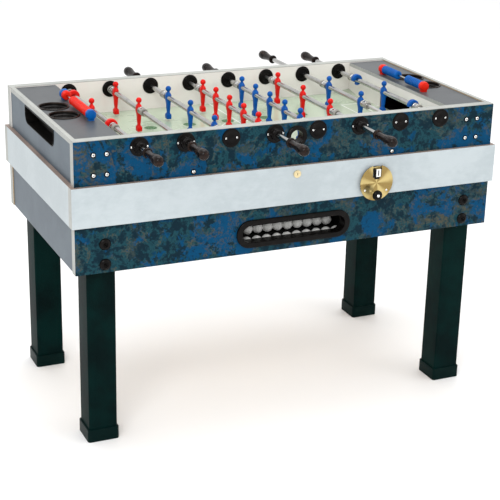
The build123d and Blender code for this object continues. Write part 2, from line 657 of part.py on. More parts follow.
with BuildPart() as lower_end_panels:
    for end in (-1, 1):
        outer = LOWER_LENGTH / 2 - SETBACK
        x0, x1 = sorted((end * (outer - BOARD), end * outer))
        inner = LOWER_Y - BOARD
        block((x0, -inner, LOWER_Z), (x1, inner, BAND_Z))
write("lower_end_panels", lower_end_panels)

with BuildPart() as base_board:
    board_x = LOWER_LENGTH / 2 - SETBACK - BOARD
    block((-board_x, -LOWER_Y + BOARD, LOWER_Z), (board_x, LOWER_Y - BOARD, LOWER_Z + FLOOR_BOARD))
    with Locations((0, 0, LOWER_Z + FLOOR_BOARD / 2)):
        with GridLocations(2 * LEG_X, 2 * LEG_Y, 2, 2):
            Box(LEG + JOINT_GAP, LEG + JOINT_GAP, FLOOR_BOARD + 2, mode=Mode.SUBTRACT)
    # the ball tray hangs in a notch at the front
    block((-TRAY_HALF - TRAY_GAP, -LOWER_Y + BOARD - 1, LOWER_Z - 1),
          (TRAY_HALF + TRAY_GAP, TRAY_BACK + TRAY_GAP, LOWER_Z + FLOOR_BOARD + 1), Mode.SUBTRACT)
write("base_board", base_board)

# ==== legs ========================================================================================

with BuildPart() as legs:
    with BuildSketch(Plane.XY.offset(BOOT_FLOOR)):
        with GridLocations(2 * LEG_X, 2 * LEG_Y, 2, 2):
            RectangleRounded(LEG, LEG, 5)
            RectangleRounded(LEG - 2 * LEG_WALL, LEG - 2 * LEG_WALL, 2, mode=Mode.SUBTRACT)
    extrude(amount=LEG_TOP - BOOT_FLOOR)
    for side in (-1, 1):
        y0, y1 = sorted((side * (LEG_Y + LEG / 2 - 10), side * (LEG_Y + LEG / 2 + 1)))
        for end in (-1, 1):
            for z in BOLT_Z:
                rod_y(end * BOLT_X, z, y0, y1, BOLT_SHANK + HOLE_CLEARANCE, Mode.SUBTRACT)
write("legs", legs)

with BuildPart() as leg_boots:
    with BuildSketch(Plane.XY):
        with GridLocations(2 * LEG_X, 2 * LEG_Y, 2, 2):
            RectangleRounded(BOOT, BOOT, 9)
    extrude(amount=BOOT_HEIGHT)
    chamfer(leg_boots.edges().group_by(Axis.Z)[-1], 2)
    with BuildSketch(Plane.XY.offset(BOOT_FLOOR)):
        with GridLocations(2 * LEG_X, 2 * LEG_Y, 2, 2):
            RectangleRounded(LEG + JOINT_GAP, LEG + JOINT_GAP, 5)
    extrude(amount=BOOT_HEIGHT, mode=Mode.SUBTRACT)
write("leg_boots", leg_boots)

with BuildPart() as leg_bolts:
    nut_face = LOWER_Y - BOARD - LEG_WALL
    for side in (-1, 1):
        for end in (-1, 1):
            for z in BOLT_Z:
                face = side * LOWER_Y
                turn_y(end * BOLT_X, z, [
                    (side * (nut_face - 14), 0), (side * (nut_face - 14), BOLT_SHANK),
                    (face, BOLT_SHANK), (face, BOLT_HEAD), (face + side * 3, BOLT_HEAD),
                    (face + side * 7, BOLT_HEAD - 4), (face + side * 9.5, BOLT_HEAD - 9),
                    (face + side * 10.5, 0),
                ])
                plane = Plane(origin=(end * BOLT_X, side * (nut_face - JOINT_GAP), z),
                              x_dir=(1, 0, 0), z_dir=(0, -side, 0))
                with BuildSketch(plane):
                    RegularPolygon(9.8, 6)
                    Circle(BOLT_SHANK + HOLE_CLEARANCE, mode=Mode.SUBTRACT)
                extrude(amount=8)
write("leg_bolts", leg_bolts)

# ==== ball tray ===================================================================================

with BuildPart() as tray_window_frame:
    back_y = -LOWER_Y + BOARD
    sleeve = [size + 2 * WINDOW_SLEEVE for size in WINDOW_OPENING]
    stadium_slab(WINDOW_Z, *sleeve, -LOWER_Y, back_y)
    stadium_slab(WINDOW_Z, *WINDOW_FLANGE, -LOWER_Y - WINDOW_PROUD, -LOWER_Y)
    fillet(tray_window_frame.faces().sort_by(Axis.Y)[0].edges(), 4)
    stadium_slab(WINDOW_Z, *WINDOW_OPENING, -LOWER_Y - WINDOW_PROUD - 1, back_y + 1, Mode.SUBTRACT)
write("tray_window_frame", tray_window_frame)

with BuildPart() as ball_tray:
    front_floor = FRONT_ROW[2] - BALL_RADIUS - JOINT_GAP
    back_floor = BACK_ROW[2] - BALL_RADIUS - JOINT_GAP
    step_y = FRONT_ROW[1] + BALL_RADIUS + 1.5
    tray_front = -LOWER_Y + BOARD
    with BuildSketch(Plane.YZ.offset(-TRAY_HALF)):
        with BuildLine():
            Polyline((tray_front, front_floor - SHEET), (step_y + SHEET, front_floor - SHEET),
                     (step_y + SHEET, back_floor - SHEET), (TRAY_BACK, back_floor - SHEET),
                     (TRAY_BACK, TRAY_TOP), (TRAY_BACK - SHEET, TRAY_TOP),
                     (TRAY_BACK - SHEET, back_floor), (step_y, back_floor),
                     (step_y, front_floor), (tray_front, front_floor), close=True)
        make_face()
    extrude(amount=2 * TRAY_HALF)
    for end in (-1, 1):
        x0, x1 = sorted((end * TRAY_HALF, end * (TRAY_HALF - SHEET)))
        block((x0, tray_front, front_floor - SHEET), (x1, TRAY_BACK, TRAY_TOP))
write("ball_tray", ball_tray)

with BuildPart() as balls:
    for count, y, z in (FRONT_ROW, BACK_ROW):
        for index in range(count):
            with Locations(((index - (count - 1) / 2) * BALL_PITCH, y, z)):
                Sphere(BALL_RADIUS)
write("balls", balls)

with BuildPart() as ball_return:
    # two sloping channels below the goals, one welded channel across to the tray, and its post
    slope = (CHANNEL_HIGH[1] - CHANNEL_LOW[1]) / (CHANNEL_HIGH[0] - CHANNEL_LOW[0])
    for end in (-1, 1):
        with BuildSketch(Plane.XZ.offset(-CHANNEL_HALF)):
            with BuildLine():
                Polyline((end * CHANNEL_HIGH[0], CHANNEL_HIGH[1]), (end * CHANNEL_LOW[0], CHANNEL_LOW[1]),
                         (end * CHANNEL_LOW[0], CHANNEL_LOW[1] + CHANNEL_WALL),
                         (end * CHANNEL_HIGH[0], CHANNEL_HIGH[1] + CHANNEL_WALL), close=True)
            make_face()
        extrude(amount=2 * CHANNEL_HALF)
    with BuildSketch(Plane.YZ.offset(-CROSS_HALF)):
        with BuildLine():
            Polyline(CROSS_REAR, (CROSS_REAR[0], CROSS_REAR[1] + CROSS_WALL),
                     (CROSS_FRONT[0], CROSS_FRONT[1] + CROSS_WALL), CROSS_FRONT, close=True)
        make_face()
    extrude(amount=2 * CROSS_HALF)
    for end in (-1, 1):
        over = 1.0
        with BuildSketch(Plane.XZ.offset(-CHANNEL_HALF + SHEET)):
            with BuildLine():
                Polyline((end * (CHANNEL_HIGH[0] + over), CHANNEL_HIGH[1] + SHEET + slope * over),
                         (end * (CHANNEL_LOW[0] - over), CHANNEL_LOW[1] + SHEET - slope * over),
                         (end * (CHANNEL_LOW[0] - over), CHANNEL_LOW[1] + 2 * CHANNEL_WALL),
                         (end * (CHANNEL_HIGH[0] + over), CHANNEL_HIGH[1] + 2 * CHANNEL_WALL), close=True)
            make_face()
        extrude(amount=2 * (CHANNEL_HALF - SHEET), mode=Mode.SUBTRACT)
    with BuildSketch(Plane.YZ.offset(-CROSS_HALF + SHEET)):
        with BuildLine():
            Polyline((CROSS_REAR[0] - SHEET, CROSS_REAR[1] + SHEET),
                     (CROSS_REAR[0] - SHEET, CROSS_REAR[1] + 2 * CROSS_WALL),
                     (CROSS_FRONT[0] - 1, CROSS_FRONT[1] + 2 * CROSS_WALL),
                     (CROSS_FRONT[0] - 1, CROSS_FRONT[1] + SHEET), close=True)
        make_face()
    extrude(amount=2 * (CROSS_HALF - SHEET), mode=Mode.SUBTRACT)
    block((-POST_HALF, CROSS_REAR[0] - POST_HALF, LOWER_Z + FLOOR_BOARD),
          (POST_HALF, CROSS_REAR[0], CROSS_REAR[1] + SHEET - 1))
write("ball_return", ball_return)

# ==== coin mechanism and lock =====================================================================

with BuildPart() as coin_plate:
    back_y = -BAND_Y
    sheet_y = back_y - COIN_STANDOFF
    rod_y(COIN_X, COIN_Z, sheet_y - COIN_SHEET, sheet_y, COIN_RADIUS)
    tube_y(COIN_X, COIN_Z, sheet_y, back_y, COIN_RADIUS - 9, COIN_RADIUS - 5)
    # notch at the top, with the coin entry standing in it
    block((COIN_X - 15, sheet_y - COIN_SHEET, COIN_Z + 18), (COIN_X + 15, sheet_y, COIN_Z + 80),
          Mode.SUBTRACT)
    rod_y(KNOB_X, KNOB_Z, sheet_y - COIN_SHEET, back_y, KNOB_STEM + 2 * RUNNING, Mode.SUBTRACT)
    block((COIN_X - 8, sheet_y - 12, COIN_Z + 22), (COIN_X + 8, back_y, COIN_Z + 47))
    block((COIN_X - 1.8, sheet_y - 13, COIN_Z + 26), (COIN_X + 1.8, back_y, COIN_Z + 43), Mode.SUBTRACT)
write("coin_plate", coin_plate)

with BuildPart() as coin_knob:
    knob_back = -BAND_Y - COIN_STANDOFF - COIN_SHEET - 22
    turn_y(KNOB_X, KNOB_Z, [
        (-BAND_Y + BOARD + 30, 0), (-BAND_Y + BOARD + 30, KNOB_STEM), (knob_back, KNOB_STEM),
        (knob_back, 11), (knob_back - 4, KNOB_RADIUS), (knob_back - 11, KNOB_RADIUS),
        (knob_back - 15, 11), (knob_back - 16, 5), (knob_back - 17.5, 0),
    ])
write("coin_knob", coin_knob)

with BuildPart() as lock_cylinder:
    turn_y(0, LOCK_Z, [
        (-BAND_Y + BOARD + 2, 0), (-BAND_Y + BOARD + 2, LOCK_RADIUS - RUNNING),
        (-BAND_Y, LOCK_RADIUS - RUNNING), (-BAND_Y, LOCK_RADIUS + 1),
        (-BAND_Y - 3, LOCK_RADIUS + 1), (-BAND_Y - 4, LOCK_RADIUS - 1), (-BAND_Y - 4, 0),
    ])
    block((-0.9, -BAND_Y - 5, LOCK_Z - 4), (0.9, -BAND_Y + 8, LOCK_Z + 4), Mode.SUBTRACT)
    block((-8, -BAND_Y + BOARD + 2, LOCK_Z - 7), (38, -BAND_Y + BOARD + 5, LOCK_Z + 7))
write("lock_cylinder", lock_cylinder)

with BuildPart() as cash_box:
    low = (COIN_X - CASH_HALF, -LOWER_Y + BOARD + 4, LOWER_Z + FLOOR_BOARD)
    high = (COIN_X + CASH_HALF, CASH_BACK, CASH_TOP)
    block(low, high)
    block((low[0] + CASH_WALL, low[1] + CASH_WALL, low[2] + CASH_WALL),
          (high[0] - CASH_WALL, high[1] - CASH_WALL, high[2] + 1), Mode.SUBTRACT)
write("cash_box", cash_box)
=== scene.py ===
"""A coin-operated foosball table: the looks of every piece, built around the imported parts.

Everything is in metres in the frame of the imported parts: X along the table, Y from the front side
to the rear side, Z up, with the floor at Z = 0.
"""

import logging
import math
from dataclasses import dataclass
from enum import Enum
from typing import Callable, Iterable, Sequence

import bmesh
import bpy
from mathutils import Matrix, Vector


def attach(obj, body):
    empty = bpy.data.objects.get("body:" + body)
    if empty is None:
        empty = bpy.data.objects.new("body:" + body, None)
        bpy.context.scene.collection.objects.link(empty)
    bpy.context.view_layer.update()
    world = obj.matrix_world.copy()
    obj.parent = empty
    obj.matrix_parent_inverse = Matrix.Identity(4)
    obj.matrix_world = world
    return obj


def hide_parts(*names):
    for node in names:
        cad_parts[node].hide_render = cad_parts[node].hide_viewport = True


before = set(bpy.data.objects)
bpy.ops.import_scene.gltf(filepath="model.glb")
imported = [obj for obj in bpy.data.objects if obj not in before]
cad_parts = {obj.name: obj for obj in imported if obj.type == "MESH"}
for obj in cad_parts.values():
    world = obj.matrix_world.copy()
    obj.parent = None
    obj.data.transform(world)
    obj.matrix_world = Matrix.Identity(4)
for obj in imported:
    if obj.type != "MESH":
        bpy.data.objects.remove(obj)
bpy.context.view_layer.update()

LOG = logging.getLogger("foosball")
MM = 0.001
POLE = 1e-5  # the radius given to an outline where it meets its axis
Colour = tuple[float, float, float]


class Team(Enum):
    """The two teams, by the colour of their men."""

    RED = "red"
    BLUE = "blue"


class Side(Enum):
    """The side of the table a rod's handle stands on."""

    FRONT = -1
    REAR = 1


# ---- shader graphs -------------------------------------------------------------------------------


class Value:
    """One number or colour flowing through a material, usable in Python arithmetic."""

    def __init__(self, graph: "Graph", socket: bpy.types.NodeSocket) -> None:
        """Wraps a node's output socket."""
        self.graph = graph
        self.socket = socket

    def maths(self, operation: str, *others: object, first: object = None) -> "Value":
        """Adds one Math node.

        Args:
            operation: the Math node's operation.
            others: the operands after this value.
            first: an operand that comes before this value, for reflected operators.
        Returns:
            The node's result.
        """
        operands = [self, *others] if first is None else [first, self, *others]
        made = self.graph.node("ShaderNodeMath", {"operation": operation}, dict(enumerate(operands)))
        return Value(self.graph, made.outputs[0])

    def __add__(self, other: object) -> "Value":
        """Sum."""
        return self.maths("ADD", other)

    def __radd__(self, other: object) -> "Value":
        """Reflected sum."""
        return self.maths("ADD", other)

    def __sub__(self, other: object) -> "Value":
        """Difference."""
        return self.maths("SUBTRACT", other)

    def __rsub__(self, other: object) -> "Value":
        """Reflected difference."""
        return self.maths("SUBTRACT", first=other)

    def __mul__(self, other: object) -> "Value":
        """Product."""
        return self.maths("MULTIPLY", other)

    def __rmul__(self, other: object) -> "Value":
        """Reflected product."""
        return self.maths("MULTIPLY", other)

    def __truediv__(self, other: object) -> "Value":
        """Quotient."""
        return self.maths("DIVIDE", other)

    def __pow__(self, other: object) -> "Value":
        """Power."""
        return self.maths("POWER", other)

    def __lt__(self, other: object) -> "Value":
        """1 where this is smaller."""
        return self.maths("LESS_THAN", other)

    def __gt__(self, other: object) -> "Value":
        """1 where this is larger."""
        return self.maths("GREATER_THAN", other)

    def __abs__(self) -> "Value":
        """Magnitude."""
        return self.maths("ABSOLUTE")

    def step(self, low: float, high: float, reach: float = 1.0) -> "Value":
        """A smooth step from 0 at low to reach at high."""
        made = self.graph.node(
            "ShaderNodeMapRange",
            {"interpolation_type": "SMOOTHSTEP"},
            {"Value": self, "From Min": low, "From Max": high, "To Min": 0.0, "To Max": reach},
        )
        return Value(self.graph, made.outputs[0])


class Graph:
    """One material's node tree while it is being made."""

    def __init__(self, name: str) -> None:
        """Starts an empty material of that name."""
        self.material = bpy.data.materials.new(name)
        self.material.use_nodes = True
        self.tree = self.material.node_tree
        self.tree.nodes.clear()
        self.object_coords = self.node("ShaderNodeTexCoord").outputs["Object"]

    def node(
        self,
        kind: str,
        settings: dict[str, object] | None = None,
        inputs: dict[object, object] | None = None,
    ) -> bpy.types.Node:
        """Adds one node.

        Args:
            kind: the node's type.
            settings: its properties, set first; "stops" gives a ramp's (place, colour) pairs.
            inputs: values or links for its sockets, by name or number.
        Returns:
            The node.
        """
        made = self.tree.nodes.new(kind)
        for name, value in (settings or {}).items():
            if name == "stops":
                self._stops(made.color_ramp, value)
            else:
                setattr(made, name, value)
        for name, value in (inputs or {}).items():
            self._feed(made.inputs[name], value)
        return made

    def _stops(self, ramp: bpy.types.ColorRamp, stops: Sequence[tuple[float, Colour]]) -> None:
        """Gives a colour ramp its stops."""
        while len(ramp.elements) < len(stops):
            ramp.elements.new(0.5)
        for element, (place, colour) in zip(ramp.elements, stops):
            element.position = place
            element.color = (*colour, 1.0)

    def _feed(self, socket: bpy.types.NodeSocket, value: object) -> None:
        """Links a value to a socket, or sets the socket's own number or colour."""
        if isinstance(value, Value):
            self.tree.links.new(value.socket, socket)
        elif isinstance(value, bpy.types.NodeSocket):
            self.tree.links.new(value, socket)
        elif socket.type == "RGBA" and len(value) == 3:
            socket.default_value = (*value, 1.0)
        else:
            socket.default_value = value

    def place(self, scale: Colour = (1, 1, 1), turn: Colour = (0, 0, 0), shift: Colour = (0, 0, 0)):
        """Object coordinates, scaled, turned and shifted."""
        made = self.node(
            "ShaderNodeMapping", None,
            {"Vector": self.object_coords, "Scale": scale, "Rotation": turn, "Location": shift},
        )
        return made.outputs[0]

    def axes(self) -> tuple[Value, Value, Value]:
        """The object coordinates as three numbers."""
        made = self.node("ShaderNodeSeparateXYZ", None, {0: self.object_coords})
        return tuple(Value(self, made.outputs[i]) for i in range(3))

    def facing(self) -> tuple[Value, Value, Value]:
        """The surface normal as three numbers."""
        normal = self.node("ShaderNodeNewGeometry").outputs["Normal"]
        made = self.node("ShaderNodeSeparateXYZ", None, {0: normal})
        return tuple(Value(self, made.outputs[i]) for i in range(3))

    def noise(
        self, scale: float, detail: float = 4.0, rough: float = 0.55, warp: float = 0.0, coords=None
    ) -> Value:
        """Fractal noise from 0 to 1 at so many cycles a metre."""
        made = self.node(
            "ShaderNodeTexNoise", None,
            {"Vector": coords or self.object_coords, "Scale": scale, "Detail": detail,
             "Roughness": rough, "Distortion": warp},
        )
        return Value(self, made.outputs[0])

    def cells(self, scale: float, coords=None, feature: str = "F1") -> Value:
        """Distance to the nearest of scattered points."""
        made = self.node(
            "ShaderNodeTexVoronoi", {"feature": feature},
            {"Vector": coords or self.object_coords, "Scale": scale},
        )
        return Value(self, made.outputs["Distance"])

    def mix(self, factor: object, low: object, high: object) -> Value:
        """Mixes two colours."""
        made = self.node("ShaderNodeMix", {"data_type": "RGBA"}, {0: factor, 6: low, 7: high})
        return Value(self, made.outputs[2])

    def shades(self, value: Value, stops: Sequence[tuple[float, Colour]]) -> Value:
        """A colour ramp over a number."""
        made = self.node("ShaderNodeValToRGB", {"stops": stops}, {0: value})
        return Value(self, made.outputs[0])

    def bump(self, height: Value, strength: float, depth_mm: float) -> Value:
        """A normal from a height."""
        made = self.node(
            "ShaderNodeBump", None,
            {"Strength": strength, "Distance": depth_mm * MM, "Height": height},
        )
        return Value(self, made.outputs[0])

    def surface(self, **inputs: object) -> bpy.types.Material:
        """Ends the graph in one Principled shader.

        Args:
            inputs: its sockets, with underscores for the spaces in their names.
        Returns:
            The finished material.
        """
        named = {name.replace("_", " "): value for name, value in inputs.items()}
        shader = self.node("ShaderNodeBsdfPrincipled", None, named)
        self.node("ShaderNodeOutputMaterial", None, {"Surface": shader.outputs[0]})
        return self.material


# ---- finishes ------------------------------------------------------------------------------------


@dataclass(frozen=True)
class Finish:
    """A finish that makes one procedural material."""

    name: str

    def material(self) -> bpy.types.Material:
        """The material, made at the first use."""
        return bpy.data.materials.get(self.name) or self.paint(Graph(self.name))

    def paint(self, g: Graph) -> bpy.types.Material:
        """Builds the material's nodes."""
        raise NotImplementedError


@dataclass(frozen=True)
class MarbledLaminate(Finish):
    """Blue laminate printed like weathered metal, with flakes, veins and olive patches."""

    deep: Colour = (0.0030, 0.0165, 0.0270)
    blue: Colour = (0.0005, 0.0500, 0.1250)
    teal: Colour = (0.0110, 0.0560, 0.0720)
    slate: Colour = (0.0300, 0.0480, 0.0480)
    olive: Colour = (0.0820, 0.0740, 0.0460)

    def paint(self, g: Graph) -> bpy.types.Material:
        """Builds the material's nodes."""
        broad = g.noise(4.2, 9.0, 0.66, 0.6)
        patch = g.noise(10.5, 11.0, 0.72, 0.35, g.place(shift=(3.1, 1.7, 5.3)))
        chips = g.noise(24.0, 9.0, 0.76, 0.2, g.place(shift=(1.4, 6.2, 2.8)))
        fine = g.noise(120.0, 6.0, 0.74)
        rust = g.noise(7.0, 10.0, 0.74, 0.5, g.place(shift=(7.7, 2.2, 0.9)))
        base = g.mix(chips.step(0.46, 0.54), self.deep, self.teal)
        slated = g.mix((rust * 0.5 + patch * 0.5 - 0.5).step(0.0, 0.06, 0.85), base, self.slate)
        flaked = (patch * 0.65 + broad * 0.35 + (chips - 0.5) * 0.25).step(0.505, 0.525)
        blue = g.mix(flaked, slated, self.blue)
        shaded = g.mix(chips.step(0.52, 0.60, 0.55), blue, self.deep)
        rim = (0.022 - abs(rust - 0.52)).step(0.0, 0.020) * chips.step(0.45, 0.55)
        bloom = (rust * 0.6 + chips * 0.4).step(0.535, 0.60)
        rust_mask = (rim * 0.7 + bloom * fine.step(0.36, 0.60)).step(0.0, 1.0, 0.85)
        rusted = g.mix(rust_mask, shaded, self.olive)
        dusted = g.mix(fine.step(0.45, 0.75, 0.40), rusted, self.deep)
        return g.surface(
            Base_Color=dusted,
            Roughness=0.34 + chips * 0.14,
            Specular_IOR_Level=0.06,
            Normal=g.bump(fine * 0.5 + chips * 0.5, 0.10, 0.25),
        )


@dataclass(frozen=True)
class SpeckledLaminate(Finish):
    """Plain laminate with a cloudy tone and a fine printed speckle."""

    tone: Colour = (0.16, 0.17, 0.18)
    cloud: Colour = (0.11, 0.12, 0.13)
    speck: Colour = (0.27, 0.28, 0.28)
    amount: float = 0.55
    gloss: float = 0.40

    def paint(self, g: Graph) -> bpy.types.Material:
        """Builds the material's nodes."""
        clouds = g.noise(7.0, 6.0, 0.6, 0.5)
        fibres = g.noise(60.0, 5.0, 0.7, 0.4, g.place(scale=(0.45, 1.0, 1.0)))
        specks = g.noise(900.0, 2.0, 0.6)
        toned = g.mix((clouds * 0.6 + fibres * 0.4).step(0.38, 0.62), self.cloud, self.tone)
        specked = g.mix(specks.step(0.60, 0.70, self.amount), toned, self.speck)
        return g.surface(
            Base_Color=specked,
            Specular_IOR_Level=0.30,
            Roughness=self.gloss + (fibres - 0.5) * 0.14,
            Normal=g.bump(specks + fibres, 0.12, 0.15),
        )


@dataclass(frozen=True)
class FieldLaminate(Finish):
    """The printed playing field: pale green with thin white lines, and darker discs of painted shadow."""

    grass: Colour = (0.44, 0.51, 0.385)
    shade: Colour = (0.375, 0.465, 0.340)
    paint_white: Colour = (0.80, 0.82, 0.78)
    # painted shadow: the colour of the darker discs
    disc: Colour = (0.060, 0.165, 0.060)
    half_length: float = 0.548
    line: float = 0.0022
    circle: float = 0.085
    large_box: tuple[float, float] = (0.115, 0.170)
    small_box: tuple[float, float] = (0.055, 0.115)
    # size, first place, spacing and offset across of the painted shadow discs
    shadow_radius: float = 0.021
    shadow_start: float = -0.301
    shadow_pitch: float = 0.136
    shadow_y: float = 0.097

    def ring(self, x: Value, y: Value, radius: float) -> Value:
        """A printed circle round the middle of the field."""
        distance = (x * x + y * y) ** 0.5
        return abs(distance - radius) < self.line

    def goal_box(self, x: Value, y: Value, depth: float, half: float) -> Value:
        """The outline of a box in front of each goal."""
        from_end = self.half_length - abs(x)
        across = (abs(abs(y) - half) < self.line) * (from_end < depth)
        along = (abs(from_end - depth) < self.line) * (abs(y) < half + self.line)
        return across + along

    def discs(self, x: Value, y: Value) -> Value:
        """Five painted shadow discs in a row on each half, point-symmetric about the middle."""
        total: Value | None = None
        for turn in (1, -1):
            for index in range(5):
                dx = x * turn - (self.shadow_start + index * self.shadow_pitch)
                dy = y * turn - self.shadow_y
                spot = (dx * dx + dy * dy) < self.shadow_radius**2
                total = spot if total is None else total + spot
        return total

    def paint(self, g: Graph) -> bpy.types.Material:
        """Builds the material's nodes."""
        x, y, _ = g.axes()
        clouds = g.noise(6.0, 5.0, 0.6)
        fine = g.noise(300.0, 3.0, 0.6)
        grass = g.mix((clouds * 0.7 + fine * 0.3).step(0.35, 0.65), self.shade, self.grass)
        middle = (abs(x) < self.line) + self.ring(x, y, self.circle)
        boxes = self.goal_box(x, y, *self.large_box) + self.goal_box(x, y, *self.small_box)
        marked = g.mix((middle + boxes).step(0.4, 0.6, 0.9), grass, self.paint_white)
        # painted shadows: darker discs mixed over the grass and the markings
        shadowed = g.mix(self.discs(x, y).step(0.4, 0.6, 0.92), marked, self.disc)
        return g.surface(
            Base_Color=shadowed,
            Roughness=0.22 + clouds * 0.12,
            Coat_Weight=0.4,
            Coat_Roughness=0.08,
            Normal=g.bump(fine, 0.05, 0.1),
        )


@dataclass(frozen=True)
class GlossWall(Finish):
    """White laminate of the inner walls, polished by balls, with faint scuffs near the field."""

    tone: Colour = (0.78, 0.75, 0.71)
    scuff: Colour = (0.52, 0.50, 0.47)
    roughness: float = 0.20
    field_z: float = 0.859

    def paint(self, g: Graph) -> bpy.types.Material:
        """Builds the material's nodes."""
        _, _, z = g.axes()
        clouds = g.noise(9.0, 5.0, 0.6)
        streaks = g.noise(50.0, 6.0, 0.7, 0.5, g.place(scale=(0.25, 0.25, 2.0)))
        low = (self.field_z + 0.035 - z).step(0.0, 0.035)
        scuffs = streaks.step(0.58, 0.72, 0.40) * low
        toned = g.mix(clouds.step(0.3, 0.8, 0.10), self.tone, self.scuff)
        return g.surface(
            Base_Color=g.mix(scuffs, toned, self.scuff),
            Roughness=self.roughness + scuffs * 0.3,
            Coat_Weight=0.5,
            Coat_Roughness=0.05,
            Normal=g.bump(clouds, 0.04, 0.2),
        )


@dataclass(frozen=True)
class MouldedPlastic(Finish):
    """Glossy moulded plastic with sink marks, flow clouds and rubbed high spots."""

    tone: Colour = (0.70, 0.02, 0.015)
    dark: Colour = (0.42, 0.008, 0.008)
    roughness: float = 0.24
    coat: float = 0.35
    shine: float = 0.14

    def paint(self, g: Graph) -> bpy.types.Material:
        """Builds the material's nodes."""
        clouds = g.noise(45.0, 4.0, 0.6, 0.4)
        pits = g.noise(650.0, 3.0, 0.65)
        scratches = g.noise(160.0, 5.0, 0.7, 1.2, g.place(scale=(1.0, 0.3, 1.0), turn=(0.3, 0.2, 0.6)))
        toned = g.mix(clouds.step(0.30, 0.70, 0.55), self.tone, self.dark)
        return g.surface(
            Base_Color=toned,
            Specular_IOR_Level=self.shine,
            Roughness=self.roughness + scratches.step(0.55, 0.75, 0.22),
            Coat_Weight=self.coat,
            Coat_Roughness=0.12,
            Normal=g.bump(pits * 0.4 + clouds, 0.10, 0.20),
        )


@dataclass(frozen=True)
class GrainedPlastic(Finish):
    """Black moulded plastic with a spark-eroded grain."""

    tone: Colour = (0.0040, 0.0036, 0.0034)
    worn: Colour = (0.014, 0.012, 0.011)
    roughness: float = 0.38
    grain: float = 1400.0
    depth: float = 0.35
    shine: float = 0.09

    def paint(self, g: Graph) -> bpy.types.Material:
        """Builds the material's nodes."""
        grain = g.noise(self.grain, 3.0, 0.7)
        clouds = g.noise(30.0, 5.0, 0.65)
        toned = g.mix((clouds * 0.7 + grain * 0.3).step(0.45, 0.75), self.tone, self.worn)
        return g.surface(
            Base_Color=toned,
            Specular_IOR_Level=self.shine,
            Roughness=self.roughness + (grain - 0.5) * 0.20,
            Normal=g.bump(grain, self.depth, 0.12),
        )


@dataclass(frozen=True)
class PolishedHandle(Finish):
    """Black-brown handle plastic, polished by hands, with drawn streaks."""

    tone: Colour = (0.0045, 0.0030, 0.0026)
    brown: Colour = (0.026, 0.011, 0.006)

    def paint(self, g: Graph) -> bpy.types.Material:
        """Builds the material's nodes."""
        streaks = g.noise(70.0, 5.0, 0.7, 0.8, g.place(scale=(1.0, 0.22, 1.0)))
        pits = g.noise(500.0, 3.0, 0.6)
        return g.surface(
            Base_Color=g.mix(streaks.step(0.42, 0.72, 0.85), self.tone, self.brown),
            Roughness=0.16 + streaks * 0.18,
            Specular_IOR_Level=0.16,
            Coat_Weight=0.03,
            Coat_Roughness=0.08,
            Normal=g.bump(streaks + pits * 0.3, 0.12, 0.2),
        )


@dataclass(frozen=True)
class PlatedSteel(Finish):
    """Plated or ground steel, with drawn lines along one direction."""

    tone: Colour = (0.60, 0.60, 0.59)
    stain: Colour = (0.34, 0.34, 0.33)
    roughness: float = 0.10
    stretch: Colour = (1.0, 0.03, 1.0)
    lines: float = 700.0

    def paint(self, g: Graph) -> bpy.types.Material:
        """Builds the material's nodes."""
        drawn = g.noise(self.lines, 4.0, 0.6, 0.0, g.place(scale=self.stretch))
        clouds = g.noise(25.0, 5.0, 0.6)
        return g.surface(
            Base_Color=g.mix(clouds.step(0.40, 0.80, 0.45), self.tone, self.stain),
            Metallic=1.0,
            Roughness=self.roughness + drawn * 0.10 + clouds.step(0.5, 0.8, 0.10),
            Normal=g.bump(drawn, 0.05, 0.08),
        )


@dataclass(frozen=True)
class TurnedBrass(Finish):
    """Brass faced on a lathe; the sectors in which its brushing catches the light are painted into the
    colour as fans of painted highlight and shade.
    """

    centre_x: float = 0.273
    centre_z: float = 0.755
    # lit and shaded colours of the painted sector highlights, and the count that sets how many fans go round
    tone: Colour = (0.60, 0.47, 0.20)
    dark: Colour = (0.30, 0.21, 0.075)
    sectors: float = 9.0

    def paint(self, g: Graph) -> bpy.types.Material:
        """Builds the material's nodes."""
        x, _, z = g.axes()
        dx, dz = x - self.centre_x, z - self.centre_z
        angle = dz.maths("ARCTAN2", dx)
        radius = (dx * dx + dz * dz) ** 0.5
        # painted highlight: light and dark fans round the centre, where a lathe-brushed face catches the
        # light
        sector_sheen = (angle * self.sectors / 2).maths("SINE")
        fine = g.noise(900.0, 3.0, 0.6)
        cloud = g.noise(40.0, 5.0, 0.65)
        rings = (radius * 5200.0 + fine * 3.0).maths("SINE")
        # cloud tone mixed with the painted sector highlights; it sets the colour, and the roughness below
        cloud_and_sector_sheen = (sector_sheen * 0.5 + 0.5) * 0.65 + cloud * 0.35
        return g.surface(
            Base_Color=g.mix(cloud_and_sector_sheen.step(0.25, 0.85), self.dark, self.tone),
            Metallic=1.0,
            Roughness=0.20 + cloud_and_sector_sheen * 0.16 + fine * 0.06,
            Normal=g.bump(rings * 0.5 + fine, 0.10, 0.06),
        )


@dataclass(frozen=True)
class SpeckledPaint(Finish):
    """Structured dark green powder coat with a light speckle and rubbed patches."""

    tone: Colour = (0.0006, 0.0120, 0.0110)
    cloud: Colour = (0.0008, 0.0050, 0.0052)
    speck: Colour = (0.0060, 0.0260, 0.0230)
    grain: float = 420.0

    def paint(self, g: Graph) -> bpy.types.Material:
        """Builds the material's nodes."""
        grains = g.noise(self.grain, 3.0, 0.65)
        clouds = g.noise(6.0, 4.0, 0.6)
        toned = g.mix(clouds.step(0.35, 0.65), self.cloud, self.tone)
        return g.surface(
            Base_Color=g.mix(grains.step(0.54, 0.68, 0.65), toned, self.speck),
            Specular_IOR_Level=0.03,
            Roughness=0.36 + grains * 0.20,
            Normal=g.bump(grains, 0.40, 0.35),
        )


